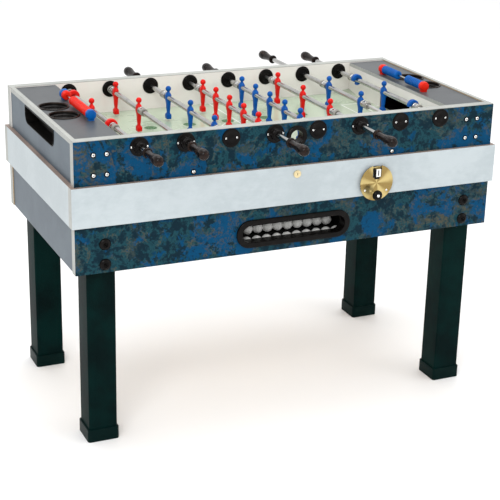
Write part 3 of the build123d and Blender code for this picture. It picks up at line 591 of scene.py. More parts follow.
@dataclass(frozen=True)
class RawBoard(Finish):
    """Sawn chipboard where no laminate covers it."""

    light: Colour = (0.52, 0.38, 0.22)
    dark: Colour = (0.26, 0.16, 0.08)

    def paint(self, g: Graph) -> bpy.types.Material:
        """Builds the material's nodes."""
        chips = g.cells(420.0, g.place(scale=(1.0, 0.6, 1.6)))
        fibres = g.noise(160.0, 6.0, 0.7, 0.6)
        return g.surface(
            Base_Color=g.shades(chips * 0.6 + fibres * 0.6, [(0.25, self.dark), (0.75, self.light)]),
            Roughness=0.70 + fibres * 0.2,
            Normal=g.bump(chips + fibres, 0.35, 0.4),
        )


@dataclass(frozen=True)
class ScuffedBall(Finish):
    """Hard white ball plastic with grey scuffs."""

    tone: Colour = (0.86, 0.86, 0.84)
    scuff: Colour = (0.42, 0.42, 0.43)

    def paint(self, g: Graph) -> bpy.types.Material:
        """Builds the material's nodes."""
        scuffs = g.noise(120.0, 6.0, 0.7, 1.4)
        pits = g.noise(800.0, 2.0, 0.6)
        mask = scuffs.step(0.58, 0.70, 0.35)
        return g.surface(
            Base_Color=g.mix(mask, self.tone, self.scuff),
            Roughness=0.30 + mask * 0.8,
            Normal=g.bump(pits + scuffs, 0.10, 0.12),
        )


MARBLED = MarbledLaminate("marbled_blue_laminate")
END_GREY = SpeckledLaminate(
    "blue_grey_end_laminate", (0.070, 0.100, 0.125), (0.048, 0.072, 0.098), (0.10, 0.12, 0.13), 0.30, 0.40
)
DECK_GREY = SpeckledLaminate(
    "grey_deck_laminate", (0.070, 0.077, 0.083), (0.052, 0.058, 0.064), (0.13, 0.14, 0.14), 0.40, 0.38
)
BAND_PALE = SpeckledLaminate(
    "pale_band_laminate", (0.455, 0.505, 0.525), (0.400, 0.450, 0.470), (0.51, 0.55, 0.56), 0.25, 0.42
)
EDGE_LIGHT = SpeckledLaminate(
    "light_edge_strip", (0.40, 0.41, 0.385), (0.33, 0.34, 0.32), (0.22, 0.22, 0.21), 0.50, 0.45
)
EDGE_BROWN = SpeckledLaminate(
    "brown_edge_strip", (0.30, 0.225, 0.19), (0.22, 0.165, 0.14), (0.14, 0.10, 0.085), 0.5, 0.45
)
FIELD = FieldLaminate("printed_field_laminate")
WALL = GlossWall("white_wall_laminate")
RED = MouldedPlastic("red_player_plastic", (0.70, 0.010, 0.006), (0.44, 0.003, 0.002), 0.28, 0.02)
BLUE = MouldedPlastic("blue_player_plastic", (0.000, 0.085, 0.36), (0.000, 0.046, 0.22), 0.28, 0.02)
BEAD_RED = MouldedPlastic("red_bead_plastic", (0.72, 0.016, 0.004), (0.48, 0.005, 0.002), 0.36, 0.02)
BEAD_BLUE = MouldedPlastic("blue_bead_plastic", (0.000, 0.100, 0.38), (0.000, 0.056, 0.25), 0.36, 0.02)
BLACK = GrainedPlastic("grained_black_plastic")
BLACK_SMOOTH = GrainedPlastic(
    "smooth_black_plastic", (0.0036, 0.0030, 0.0028), (0.0095, 0.0080, 0.0070), 0.24, 700.0, 0.08
)
BROWN_BLACK = GrainedPlastic(
    "brown_black_flange_plastic", (0.012, 0.008, 0.006), (0.050, 0.030, 0.020), 0.26, 800.0, 0.15
)
RUBBER = GrainedPlastic("buffer_rubber", (0.26, 0.25, 0.23), (0.42, 0.41, 0.38), 0.40, 1100.0, 0.30)
HANDLE = PolishedHandle("polished_handle_plastic")
CHROME = PlatedSteel("chromed_rod_steel", (0.46, 0.46, 0.45), (0.20, 0.20, 0.19))
BRIGHT = PlatedSteel("bright_screw_steel", (0.82, 0.82, 0.80), (0.60, 0.60, 0.58), 0.12, (1, 1, 1), 500.0)
GROUND = PlatedSteel("ground_shaft_steel", (0.62, 0.62, 0.61), (0.42, 0.42, 0.41), 0.24)
ZINC = PlatedSteel("zinc_hinge_steel", (0.60, 0.61, 0.60), (0.40, 0.41, 0.40), 0.34, (0.05, 1, 1), 500.0)
SHEET = SpeckledPaint(
    "black_sheet_paint", (0.014, 0.014, 0.014), (0.008, 0.008, 0.008), (0.035, 0.035, 0.035), 700.0
)
LEG_GREEN = SpeckledPaint("green_leg_paint")
BOOT_GREEN = GrainedPlastic(
    "green_boot_plastic", (0.0010, 0.0085, 0.0080), (0.0040, 0.0160, 0.0140), 0.34, 900.0, 0.18, 0.04
)
BOARD = RawBoard("raw_board_edges")
# turned brass, with its sector highlights and shade painted into the colour
DISC_BRASS = TurnedBrass("turned_disc_brass")
LOCK_BRASS = TurnedBrass("lock_brass", 0.0, 0.809, (0.70, 0.52, 0.24), (0.44, 0.30, 0.11), 2.0)
BALL = ScuffedBall("scuffed_ball_plastic")


# ---- meshes --------------------------------------------------------------------------------------


class Shape:
    """The mesh of one piece while it is being made."""

    def __init__(self) -> None:
        """Starts an empty shape."""
        self.mesh = bmesh.new()

    def loft(self, rings: Sequence[Sequence[Vector]], slot: int = 0, looped: bool = False) -> None:
        """Skins equal rings of points, and closes both ends, or the loop.

        Args:
            rings: rings with the same number of points.
            slot: the material slot of the faces.
            looped: True joins the last ring to the first in place of the two end faces.
        """
        rows = [[self.mesh.verts.new(p) for p in ring] for ring in rings]
        pairs = list(zip(rows, rows[1:])) + ([(rows[-1], rows[0])] if looped else [])
        for low, high in pairs:
            for i in range(len(low)):
                j = (i + 1) % len(low)
                self.face([low[i], low[j], high[j], high[i]], slot)
        if not looped:
            self.face(list(reversed(rows[0])), slot)
            self.face(rows[-1], slot)

    def face(self, corners: Sequence[bmesh.types.BMVert], slot: int) -> None:
        """Adds one face."""
        made = self.mesh.faces.new(corners)
        made.material_index = slot

    def turned(
        self, x: float, z: float, outline: Sequence[tuple[float, float]], slot: int = 0,
        sides: int = 32, looped: bool = False,
    ) -> None:
        """A turned piece on the line along Y through (x, z).

        Args:
            x, z: the axis.
            outline: (y, radius) pairs.
            slot: the material slot.
            sides: points round the axis.
            looped: True where the outline is closed, as on a ring.
        """
        rings = []
        for y, radius in outline:
            angles = [math.tau * i / sides for i in range(sides)]
            rings.append([Vector((x + radius * math.cos(a), y, z + radius * math.sin(a))) for a in angles])
        self.loft(rings, slot, looped)

    def finished(self, name: str, finishes: Sequence[Finish], smooth: float = 38.0) -> bpy.types.Mesh:
        """Turns the shape into a mesh with its materials.

        Args:
            name: the mesh's name.
            finishes: one for each material slot.
            smooth: edges sharper than this angle, in degrees, stay sharp.
        Returns:
            The mesh.
        """
        bmesh.ops.recalc_face_normals(self.mesh, faces=self.mesh.faces)
        mesh = bpy.data.meshes.new(name)
        self.mesh.to_mesh(mesh)
        self.mesh.free()
        for finish in finishes:
            mesh.materials.append(finish.material())
        mesh.shade_smooth()
        mesh.set_sharp_from_angle(angle=math.radians(smooth))
        return mesh


def rounded(points: Sequence[tuple[float, float]], radius: float, cuts: int = 3, looped: bool = False):
    """Rounds the corners of an outline.

    Args:
        points: (y, radius) corners.
        radius: the largest rounding.
        cuts: points along each rounding.
        looped: True where the outline is closed.
    Returns:
        The rounded outline.
    """
    made = []
    count = len(points)
    for i, point in enumerate(points):
        if not looped and i in (0, count - 1):
            made.append(point)
            continue
        here = Vector(point)
        before, after = Vector(points[i - 1]), Vector(points[(i + 1) % count])
        back, on = before - here, after - here
        if back.length < 1e-7 or on.length < 1e-7:
            made.append(point)
            continue
        reach = min(radius, back.length * 0.45, on.length * 0.45)
        start, end = here + back.normalized() * reach, here + on.normalized() * reach
        for k in range(cuts + 1):
            t = k / cuts
            p = start * (1 - t) ** 2 + here * 2 * t * (1 - t) + end * t**2
            made.append((p.x, p.y))
    return made


def circle(radius: float, count: int, z: float) -> list[Vector]:
    """Points round the Z axis at one height."""
    turns = [math.tau * k / count for k in range(count)]
    return [Vector((radius * math.cos(a), radius * math.sin(a), z)) for a in turns]


def place(
    name: str, mesh: bpy.types.Mesh, body: str, replaced: Iterable[str] = (), slot: str | None = None
) -> bpy.types.Object:
    """Puts a finished mesh in the scene as a piece of one body.

    Args:
        name: the piece's name.
        mesh: its mesh, already in place.
        body: the body it moves with.
        replaced: nodes it stands for.
        slot: not used.
    Returns:
        The piece.
    """
    piece = bpy.data.objects.new(name, mesh)
    bpy.context.scene.collection.objects.link(piece)
    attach(piece, body)
    if replaced:
        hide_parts(*replaced)
    LOG.info("piece %s on %s, %d faces", name, body, len(mesh.polygons))
    return piece


def dress(node: str, finish: Finish) -> None:
    """Gives a carried-over node one finish."""
    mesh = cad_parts[node].data
    mesh.materials.clear()
    mesh.materials.append(finish.material())
    LOG.info("dressed %s in %s", node, finish.name)


Chooser = Callable[[Vector, Vector], int]


def eased(
    node: str, body: str, finishes: Sequence[Finish], edge_mm: float, slot: str,
    choose: Chooser | None = None, cuts: int = 2,
) -> bpy.types.Object:
    """A copy of a node with eased edges and a finish on each face.

    Args:
        node: the node it is copied from and stands for.
        body: the body it moves with.
        finishes: the finishes that choose picks from.
        edge_mm: the width of the eased edges.
        slot: passed on to place, which does not use it.
        choose: from a face's middle and normal to its finish; None is the first everywhere.
        cuts: segments across an eased edge.
    Returns:
        The piece.
    """
    shape = bmesh.new()
    shape.from_mesh(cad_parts[node].data)
    bmesh.ops.remove_doubles(shape, verts=shape.verts, dist=2e-6)
    bmesh.ops.dissolve_limit(shape, angle_limit=math.radians(1.0), verts=shape.verts, edges=shape.edges)
    for face in shape.faces:
        face.material_index = choose(face.calc_center_median(), face.normal) if choose else 0
    mesh = bpy.data.meshes.new(node)
    shape.to_mesh(mesh)
    shape.free()
    for finish in finishes:
        mesh.materials.append(finish.material())
    mesh.shade_smooth()
    mesh.set_sharp_from_angle(angle=math.radians(35))
    piece = place(f"{node}_eased", mesh, body, [node], slot)
    if edge_mm:
        bevel = piece.modifiers.new("eased_edges", "BEVEL")
        bevel.width = edge_mm * MM
        bevel.segments = cuts
        bevel.limit_method = "ANGLE"
        bevel.angle_limit = math.radians(40)
        bevel.harden_normals = False
    return piece


# ---- repeated pieces -----------------------------------------------------------------------------


class Repeater:
    """A Geometry Nodes tree that puts copies of one piece on given points."""

    def __init__(self) -> None:
        """Builds the tree with its named inputs."""
        tree = bpy.data.node_groups.new("repeat_piece", "GeometryNodeTree")
        tree.is_modifier = True
        face = tree.interface
        for name, kind in (
            ("Points", "NodeSocketGeometry"), ("Piece", "NodeSocketObject"),
            ("Finish", "NodeSocketMaterial"), ("Size", "NodeSocketFloat"),
            ("Recolour", "NodeSocketBool"),
        ):
            face.new_socket(name, in_out="INPUT", socket_type=kind)
        face.new_socket("Copies", in_out="OUTPUT", socket_type="NodeSocketGeometry")
        nodes, link = tree.nodes, tree.links.new
        start, end = nodes.new("NodeGroupInput"), nodes.new("NodeGroupOutput")
        info = nodes.new("GeometryNodeObjectInfo")
        turn = nodes.new("GeometryNodeInputNamedAttribute")
        turn.data_type = "FLOAT_VECTOR"
        turn.inputs["Name"].default_value = "turn"
        copies = nodes.new("GeometryNodeInstanceOnPoints")
        real = nodes.new("GeometryNodeRealizeInstances")
        paint = nodes.new("GeometryNodeSetMaterial")
        link(start.outputs["Points"], copies.inputs["Points"])
        link(start.outputs["Piece"], info.inputs["Object"])
        link(info.outputs["Geometry"], copies.inputs["Instance"])
        link(turn.outputs["Attribute"], copies.inputs["Rotation"])
        link(start.outputs["Size"], copies.inputs["Scale"])
        link(copies.outputs["Instances"], real.inputs["Geometry"])
        link(real.outputs["Geometry"], paint.inputs["Geometry"])
        link(start.outputs["Recolour"], paint.inputs["Selection"])
        link(start.outputs["Finish"], paint.inputs["Material"])
        link(paint.outputs["Geometry"], end.inputs["Copies"])
        self.tree = tree
        self.keys = {s.name: s.identifier for s in face.items_tree if s.in_out == "INPUT"}

    def run(
        self, name: str, template: bpy.types.Mesh, spots: Sequence[tuple[Vector, Vector]],
        finish: Finish | None = None,
    ) -> bpy.types.Mesh:
        """Copies a template to each spot as one plain mesh.

        Args:
            name: the mesh's name.
            template: the piece, round the origin.
            spots: (place, turn) of each copy, the turn as XYZ angles.
            finish: one finish for all, or None to keep the template's own.
        Returns:
            The joined mesh.
        """
        points = bpy.data.meshes.new(f"{name}_points")
        points.from_pydata([tuple(p) for p, _ in spots], [], [])
        turns = points.attributes.new("turn", "FLOAT_VECTOR", "POINT")
        turns.data.foreach_set("vector", [c for _, t in spots for c in t])
        holder = bpy.data.objects.new(f"{name}_holder", points)
        pattern = bpy.data.objects.new(f"{name}_pattern", template)
        for item in (holder, pattern):
            bpy.context.scene.collection.objects.link(item)
        modifier = holder.modifiers.new("repeat", "NODES")
        modifier.node_group = self.tree
        modifier[self.keys["Piece"]] = pattern
        modifier[self.keys["Size"]] = 1.0
        modifier[self.keys["Recolour"]] = finish is not None
        modifier[self.keys["Finish"]] = finish.material() if finish else None
        graph = bpy.context.evaluated_depsgraph_get()
        made = bpy.data.meshes.new_from_object(holder.evaluated_get(graph))
        made.name = name
        holder.modifiers.clear()
        for item in (holder, pattern):
            bpy.data.objects.remove(item)
        return made


REPEAT = Repeater()
FORWARD = Vector((0, 0, 0))
BACKWARD = Vector((0, 0, math.pi))


def facing(side: int) -> Vector:
    """The turn of a copy that faces out of the rear side (1) or the front side (-1)."""
    return FORWARD if side > 0 else BACKWARD


# ---- playing box ---------------------------------------------------------------------------------


@dataclass
class PlayingBox:
    """The lift-up box: boards, rim, decks and walls round the field."""

    half_length: float = 0.700
    half_width: float = 0.365
    body: str = "upper_cabinet"

    def long_side(self, centre: Vector, normal: Vector) -> int:
        """Marbled outside, white inside, a light strip on the ends, brown below."""
        if abs(normal.y) > 0.9:
            outside = abs(centre.y) > self.half_width - 0.001
            return 0 if outside else 1
        if abs(normal.x) > 0.9 and abs(centre.x) > self.half_length - 0.001:
            return 2
        return 3

    def end_side(self, centre: Vector, normal: Vector) -> int:
        """Blue-grey laminate outside, bare board elsewhere."""
        return 0 if abs(normal.x) > 0.9 and abs(centre.x) > self.half_length - 0.01 else 1

    def deck(self, centre: Vector, normal: Vector) -> int:
        """Grey laminate on top, a light strip on the edge towards the field."""
        if normal.z > 0.9:
            return 0
        return 1 if abs(normal.x) > 0.9 else 2

    def wall(self, centre: Vector, normal: Vector) -> int:
        """White laminate with brown edges round the goal mouth."""
        return 0 if abs(normal.x) > 0.9 else 1

    def field(self, centre: Vector, normal: Vector) -> int:
        """The printed field on top, bare board below."""
        return 0 if normal.z > 0.5 else 1

    def build(self) -> None:
        """Makes the box's pieces."""
        sides = [MARBLED, WALL, EDGE_LIGHT, EDGE_BROWN]
        for node in ("upper_front_panel", "upper_rear_panel"):
            eased(node, self.body, sides, 0.5, "marbled_laminate", self.long_side)
        eased("upper_end_panels", self.body, [END_GREY, BOARD], 0.5, "grey_laminate", self.end_side)
        eased("rim_trim", self.body, [EDGE_LIGHT], 0.6, "edge_trim")
        eased("end_decks", self.body, [DECK_GREY, EDGE_LIGHT, BOARD], 0.4, "grey_laminate", self.deck)
        eased("goal_walls", self.body, [WALL, EDGE_BROWN], 0.4, "white_wall", self.wall)
        eased("playfield", self.body, [FIELD, BOARD], 0.0, "playfield", self.field)
        eased("goal_pockets", self.body, [BLACK], 0.6, "black_plastic")
        eased("hand_recesses", self.body, [BLACK], 0.9, "black_plastic")


@dataclass
class DrinkCups:
    """Four cup holders set into the end decks."""

    x: float = 0.6345
    y: float = 0.056
    deck_top: float = 0.966
    flange: float = 0.050
    radius: float = 0.0465
    depth: float = 0.012
    wall: float = 0.003
    sides: int = 64

    def template(self) -> bpy.types.Mesh:
        """One cup about the deck's surface, with a stepped flange."""
        inner, outer = self.radius - self.wall, self.radius
        outline = rounded(
            [(-self.depth, 0.0), (-self.depth, outer - 0.004), (-self.depth + 0.004, outer),
             (0.0, outer), (0.0, self.flange), (0.0018, self.flange), (0.003, self.flange - 0.002),
             (0.003, inner + 0.0015), (0.0005, inner), (-self.depth + 0.006, inner - 0.0006),
             (-self.depth + self.wall, inner - 0.006), (-self.depth + self.wall, 0.0)],
            0.0012,
        )
        shape = Shape()
        shape.loft([circle(max(radius, POLE), self.sides, z) for z, radius in outline])
        for face in shape.mesh.faces:
            high = face.calc_center_median()
            face.material_index = 1 if high.z > -0.0005 and high.xy.length > inner - 0.001 else 0
        return shape.finished("drink_cup", [BLACK_SMOOTH, BROWN_BLACK], 30)

    def build(self) -> None:
        """Makes the four cups."""
        spots = [
            (Vector((sx * self.x, sy * self.y, self.deck_top)), FORWARD)
            for sx in (-1, 1) for sy in (-1, 1)
        ]
        mesh = REPEAT.run("cup_holders", self.template(), spots)
        place("cup_holders", mesh, "upper_cabinet", ["drink_cups"], "black_plastic")


@dataclass
class ScoreCounter:
    """One score counter: a rail between two caps, with ribbed beads in two groups."""

    name: str
    x: float
    far_count: int
    beads: Finish
    caps: Finish
    bead_slot: str
    z: float = 0.984
    deck_top: float = 0.966
    cap_inner: float = 0.126
    cap_length: float = 0.022
    cap_radius: float = 0.016
    rail: float = 0.003
    pitch: float = 0.019
    total: int = 10
    radius: float = 0.0145
    shoulder: float = 0.0042

    def bead(self) -> bpy.types.Mesh:
        """One bead round the origin, with two ribs, sloped ends and a bored middle."""
        half, bore = 0.0094, self.rail + 0.0001
        deep, r = self.radius - 0.0030, self.radius
        side = [(0.0009, deep), (0.0023, r), (0.0068, r), (half, r - self.shoulder), (half, bore)]
        outline = [(-y, radius) for y, radius in reversed(side)] + side
        shape = Shape()
        shape.turned(0, 0, rounded(outline, 0.0006, 2, True), sides=24, looped=True)
        return shape.finished("bead", [self.beads], 30)

    def cap(self, shape: Shape, side: int) -> None:
        """One end cap: a rounded block with eight soft sides, on a foot."""
        centre = side * (self.cap_inner + self.cap_length / 2)
        half = self.cap_length / 2
        rings = []
        swell = [(0.5, 1.0), (0.86, 0.93), (1, 0.72), (1, 0.0)]
        for y, grow in [(-y, grow) for y, grow in reversed(swell)] + swell:
            ring = []
            for i in range(32):
                a = math.tau * i / 32
                r = self.cap_radius * grow * (1 - 0.055 * math.cos(4 * a) ** 2) if grow else POLE
                ring.append(Vector((self.x + r * math.cos(a), centre + y * half, self.z + r * math.sin(a))))
            rings.append(ring)
        shape.loft(rings)
        foot = []
        for z, w in ((self.deck_top, 0.0090), (self.deck_top + 0.003, 0.0088), (self.z - 0.004, 0.0080)):
            foot.append([
                Vector((self.x + sx * w, centre + sy * (half - 0.003), z))
                for sx, sy in ((-1, -1), (1, -1), (1, 1), (-1, 1))
            ])
        shape.loft(foot)

    def build(self) -> None:
        """Makes the rail with its caps, and the two groups of beads."""
        shape = Shape()
        shape.turned(self.x, self.z, [
            (-self.cap_inner - 0.010, POLE), (-self.cap_inner - 0.010, self.rail),
            (self.cap_inner + 0.010, self.rail), (self.cap_inner + 0.010, POLE),
        ], slot=1, sides=20)
        for side in (-1, 1):
            self.cap(shape, side)
        frame_mesh = shape.finished(f"{self.name}_counter_frame", [self.caps, CHROME], 40)
        place(f"{self.name}_counter_frame", frame_mesh, "upper_cabinet",
              ["counter_frames"] if self.x < 0 else [], "counter_blue")
        template = self.bead()
        for group, first, count in (
            ("far", self.cap_inner - self.far_count * self.pitch, self.far_count),
            ("near", -self.cap_inner, self.total - self.far_count),
        ):
            spots = [
                (Vector((self.x, first + (i + 0.5) * self.pitch, self.z)), FORWARD) for i in range(count)
            ]
            name = f"{self.name}_{group}_beads"
            place(f"{name}_ribbed", REPEAT.run(name, template, spots), name, [name], self.bead_slot)


# ---- rods ----------------------------------------------------------------------------------------


@dataclass
class Player:
    """One man of a team, standing on the rod at the origin and facing along X."""

    finish: Finish
    sides: int = 40

    def ring(
        self, z: float, deep: float, wide: float, square: float = 2.0, arms: float = 0.0,
        legs: float = 0.0, shift: float = 0.0,
    ) -> list[Vector]:
        """One level of the figure.

        Args:
            z: its height in millimetres.
            deep, wide: its full size along X and Y, in millimetres.
            square: 2 is an oval, larger is boxier.
            arms: depth of the grooves between the arms and the chest.
            legs: depth of the groove between the legs.
            shift: how far the level stands forward.
        Returns:
            The level's points, in metres.
        """
        points = []
        for i in range(self.sides):
            a = math.tau * i / self.sides
            c, s = math.cos(a), math.sin(a)
            x = math.copysign(abs(c) ** (2 / square), c) * deep / 2
            y = math.copysign(abs(s) ** (2 / square), s) * wide / 2
            across = abs(y) / (wide / 2)
            between_legs = legs * math.exp(-((across / 0.22) ** 2))
            beside_chest = arms * math.exp(-(((across - 0.62) / 0.12) ** 2))
            x *= 1 - between_legs - beside_chest
            points.append(Vector(((x + shift) * MM, y * MM, z * MM)))
        return points

    def build(self) -> bpy.types.Mesh:
        """The figure's mesh."""
        shape = Shape()
        body = [
            self.ring(-72.0, 14.0, 20.0, 5.0), self.ring(-71.2, 16.4, 22.4, 5.0),
            self.ring(-69.6, 17.0, 23.0, 5.0), self.ring(-59.0, 17.0, 23.0, 5.0),
            self.ring(-56.4, 15.8, 21.6, 4.2),
            self.ring(-53.0, 10.6, 15.6, 3.2, legs=0.14), self.ring(-49.0, 9.4, 14.4, 2.6, legs=0.30),
            self.ring(-42.0, 11.4, 17.2, 2.4, legs=0.34), self.ring(-35.0, 13.0, 19.0, 2.3, legs=0.32),
            self.ring(-28.0, 13.2, 20.0, 2.3, legs=0.26), self.ring(-20.0, 14.6, 22.0, 2.4, legs=0.14),
            self.ring(-13.0, 17.0, 24.6, 2.6, arms=0.10, legs=0.04),
            self.ring(-8.0, 19.2, 27.0, 2.9, arms=0.12),
            self.ring(-2.0, 20.0, 28.0, 3.0, arms=0.12), self.ring(4.0, 19.6, 28.0, 2.9, arms=0.13),
            self.ring(8.5, 18.0, 27.4, 2.6, arms=0.13), self.ring(12.0, 15.4, 25.0, 2.3, arms=0.10),
            self.ring(14.6, 12.4, 20.4, 2.1, arms=0.05), self.ring(16.6, 9.8, 14.6),
            self.ring(18.2, 8.6, 10.4), self.ring(20.0, 8.2, 8.8), self.ring(21.2, 9.4, 9.6),
        ]
        head = []
        for i in range(1, 12):
            a = math.pi * (0.14 + 0.86 * i / 12)
            r = 9.1 * math.sin(a)
            z = 28.6 - 9.3 * math.cos(a)
            head.append(self.ring(z, 2 * r * 1.02, 2 * r * 0.96))
        shape.loft([*body, *head, self.ring(37.88, 0.6, 0.6)])
        return shape.finished("man", [self.finish], 50)


@dataclass
class PlayerRod:
    """One rod with its men, sleeves, buffers and handle."""

    number: int
    kind: str
    side: Side
    rest: float
    team: Team
    axis_z: float = 0.939
    pitch: float = 0.14365
    tube: float = 0.008
    shaft: float = 0.0055
    handle_length: float = 0.110
    handle_bore: float = 0.096
    collar: float = 0.028
    buffer: float = 0.010
    stop_y: float = 0.195
    stop_half: float = 0.009
    stop_radius: float = 0.019
    stop_ease: float = 0.0018

    @property
    def body(self) -> str:
        """The body that the rod's pieces move with."""
        return f"rod_{self.number}"

    @property
    def x(self) -> float:
        """The rod's place along the table."""
        return (self.number - 4.5) * self.pitch

    @property
    def men(self) -> list[float]:
        """Places of the men along the rod, from its middle."""
        return {
            "keeper": [0.0], "two": [-0.115, 0.115], "three": [-0.199, 0.0, 0.199],
            "five": [-0.228, -0.114, 0.0, 0.114, 0.228],
        }[self.kind]

    @property
    def reach(self) -> float:
        """From the rod's middle to its outermost man or stop."""
        return self.stop_y + self.stop_half if self.kind == "keeper" else self.men[-1] + 0.014

    @property
    def grip(self) -> float:
        """Where the handle starts."""
        far = {"keeper": 0.514, "two": 0.570, "three": 0.508, "five": 0.455}[self.kind]
        return self.rest + self.side.value * far

    def figures(self, templates: dict[Team, bpy.types.Mesh]) -> None:
        """Puts the men on the rod, and a keeper's two stops."""
        name = f"{self.body}_men"
        turn = FORWARD if self.team is Team.RED else BACKWARD
        spots = [(Vector((self.x, self.rest + y, self.axis_z)), turn) for y in self.men]
        mesh = REPEAT.run(f"{name}_figures", templates[self.team], spots)
        place(f"{name}_figures", mesh, self.body, [name], f"{self.team.value}_plastic")
        if self.kind == "keeper":
            self.stops()

    def stops(self) -> None:
        """A keeper's two C-shaped stops."""
        shape = Shape()
        half, top, ease = self.stop_half, self.stop_radius, self.stop_ease
        side = [(half - ease, top), (half, top - ease), (half, self.tube)]
        section = rounded([(-y, r) for y, r in reversed(side)] + side, 0.0012, 2, True)
        start, end, count = math.radians(-98), math.radians(188), 40
        for way in (-1, 1):
            middle = self.rest + way * self.stop_y
            rings = []
            for k in range(count + 1):
                a = start + (end - start) * k / count
                c, s = math.cos(a), math.sin(a)
                rings.append([Vector((self.x + r * c, middle + y, self.axis_z + r * s)) for y, r in section])
            shape.loft(rings)
        finish = RED if self.team is Team.RED else BLUE
        name = f"{self.body}_stops"
        place(name, shape.finished(name, [finish], 40), self.body, [], f"{self.team.value}_plastic")

    def steelwork(self) -> None:
        """The tube with its two sleeves and rubber buffers."""
        s, bunch = self.side.value, self.collar + self.buffer
        blank = self.rest - s * (self.reach + bunch)
        shape = Shape()
        lip = 0.0008
        shape.turned(self.x, self.axis_z, [
            (blank, self.shaft), (blank, self.tube - lip), (blank + s * lip, self.tube),
            (self.grip + s * self.handle_bore, self.tube), (self.grip + s * self.handle_bore, self.shaft),
        ], sides=32, looped=True)
        for way in (-1, 1):
            a = self.rest + way * (self.reach + 0.0002)
            b = a + way * (self.collar - 0.0002)
            sleeve = rounded([
                (a, self.tube), (a, 0.0112), (a + way * 0.0045, 0.0120), (a + way * 0.0085, 0.0120),
                (a + way * 0.0095, 0.0106), (b - way * 0.0115, 0.0106), (b - way * 0.0105, 0.0120),
                (b - way * 0.0035, 0.0120), (b, 0.0112), (b, self.tube)], 0.0007, 2, True)
            shape.turned(self.x, self.axis_z, sleeve, sides=32, looped=True)
        name = f"{self.body}_steel"
        place(name, shape.finished(name, [CHROME], 32), self.body, [self.body], "chrome_rod")
        rubber = Shape()
        for way in (-1, 1):
            a = self.rest + way * (self.reach + self.collar + 0.0002)
            b = self.rest + way * (self.reach + bunch)
            ring = rounded([
                (a, self.tube), (a, 0.0122), (a + way * 0.002, 0.0125), (a + way * 0.0042, 0.0125),
                (a + way * 0.0049, 0.0112), (a + way * 0.0056, 0.0125), (b - way * 0.002, 0.0125),
                (b, 0.0118), (b, self.tube)], 0.0005, 2, True)
            rubber.turned(self.x, self.axis_z, ring, sides=32, looped=True)
        name = f"{self.body}_buffers"
        place(name, rubber.finished(name, [RUBBER], 32), self.body)

    def handle(self) -> None:
        """The handle: a flange, a waist, a bulb with two turned grooves and a domed end."""
        s = self.side.value
        steps = [
            (0.0, 0.0080), (0.0, 0.0128), (0.0012, 0.0140), (0.0030, 0.0150), (0.0048, 0.0155),
            (0.0066, 0.0150), (0.0080, 0.0136), (0.0105, 0.0122), (0.0135, 0.0112), (0.0200, 0.0107),
            (0.0300, 0.0106), (0.0400, 0.0111), (0.0500, 0.0120), (0.0600, 0.0132), (0.0655, 0.0140),
            (0.0665, 0.0133), (0.0685, 0.0133), (0.0695, 0.0146), (0.0750, 0.0154), (0.0765, 0.0146),
            (0.0785, 0.0146), (0.0800, 0.0159), (0.0860, 0.0164), (0.0920, 0.0165), (0.0970, 0.0159),
            (0.1010, 0.0148), (0.1045, 0.0130), (0.1075, 0.0104), (0.1092, 0.0070), (0.1098, 0.0035),
            (self.handle_length, POLE), (self.handle_bore + 0.001, POLE),
            (self.handle_bore + 0.001, 0.0080),
        ]
        outline = [(self.grip + s * y, r) for y, r in steps]
        shape = Shape()
        shape.turned(self.x, self.axis_z, outline, sides=40, looped=True)
        ring = [(self.grip + s * y, r) for y, r in (
            (0.0094, 0.0105), (0.0094, 0.0137), (0.0104, 0.0142), (0.0116, 0.0137), (0.0120, 0.0105))]
        shape.turned(self.x, self.axis_z, ring, slot=1, sides=40, looped=True)
        name = f"{self.body}_handle"
        place(name, shape.finished(name, [HANDLE, BROWN_BLACK], 36), self.body)

    def build(self, templates: dict[Team, bpy.types.Mesh]) -> None:
        """Makes everything on the rod."""
        self.steelwork()
        self.handle()
        self.figures(templates)
        dress(f"{self.body}_shaft", GROUND)


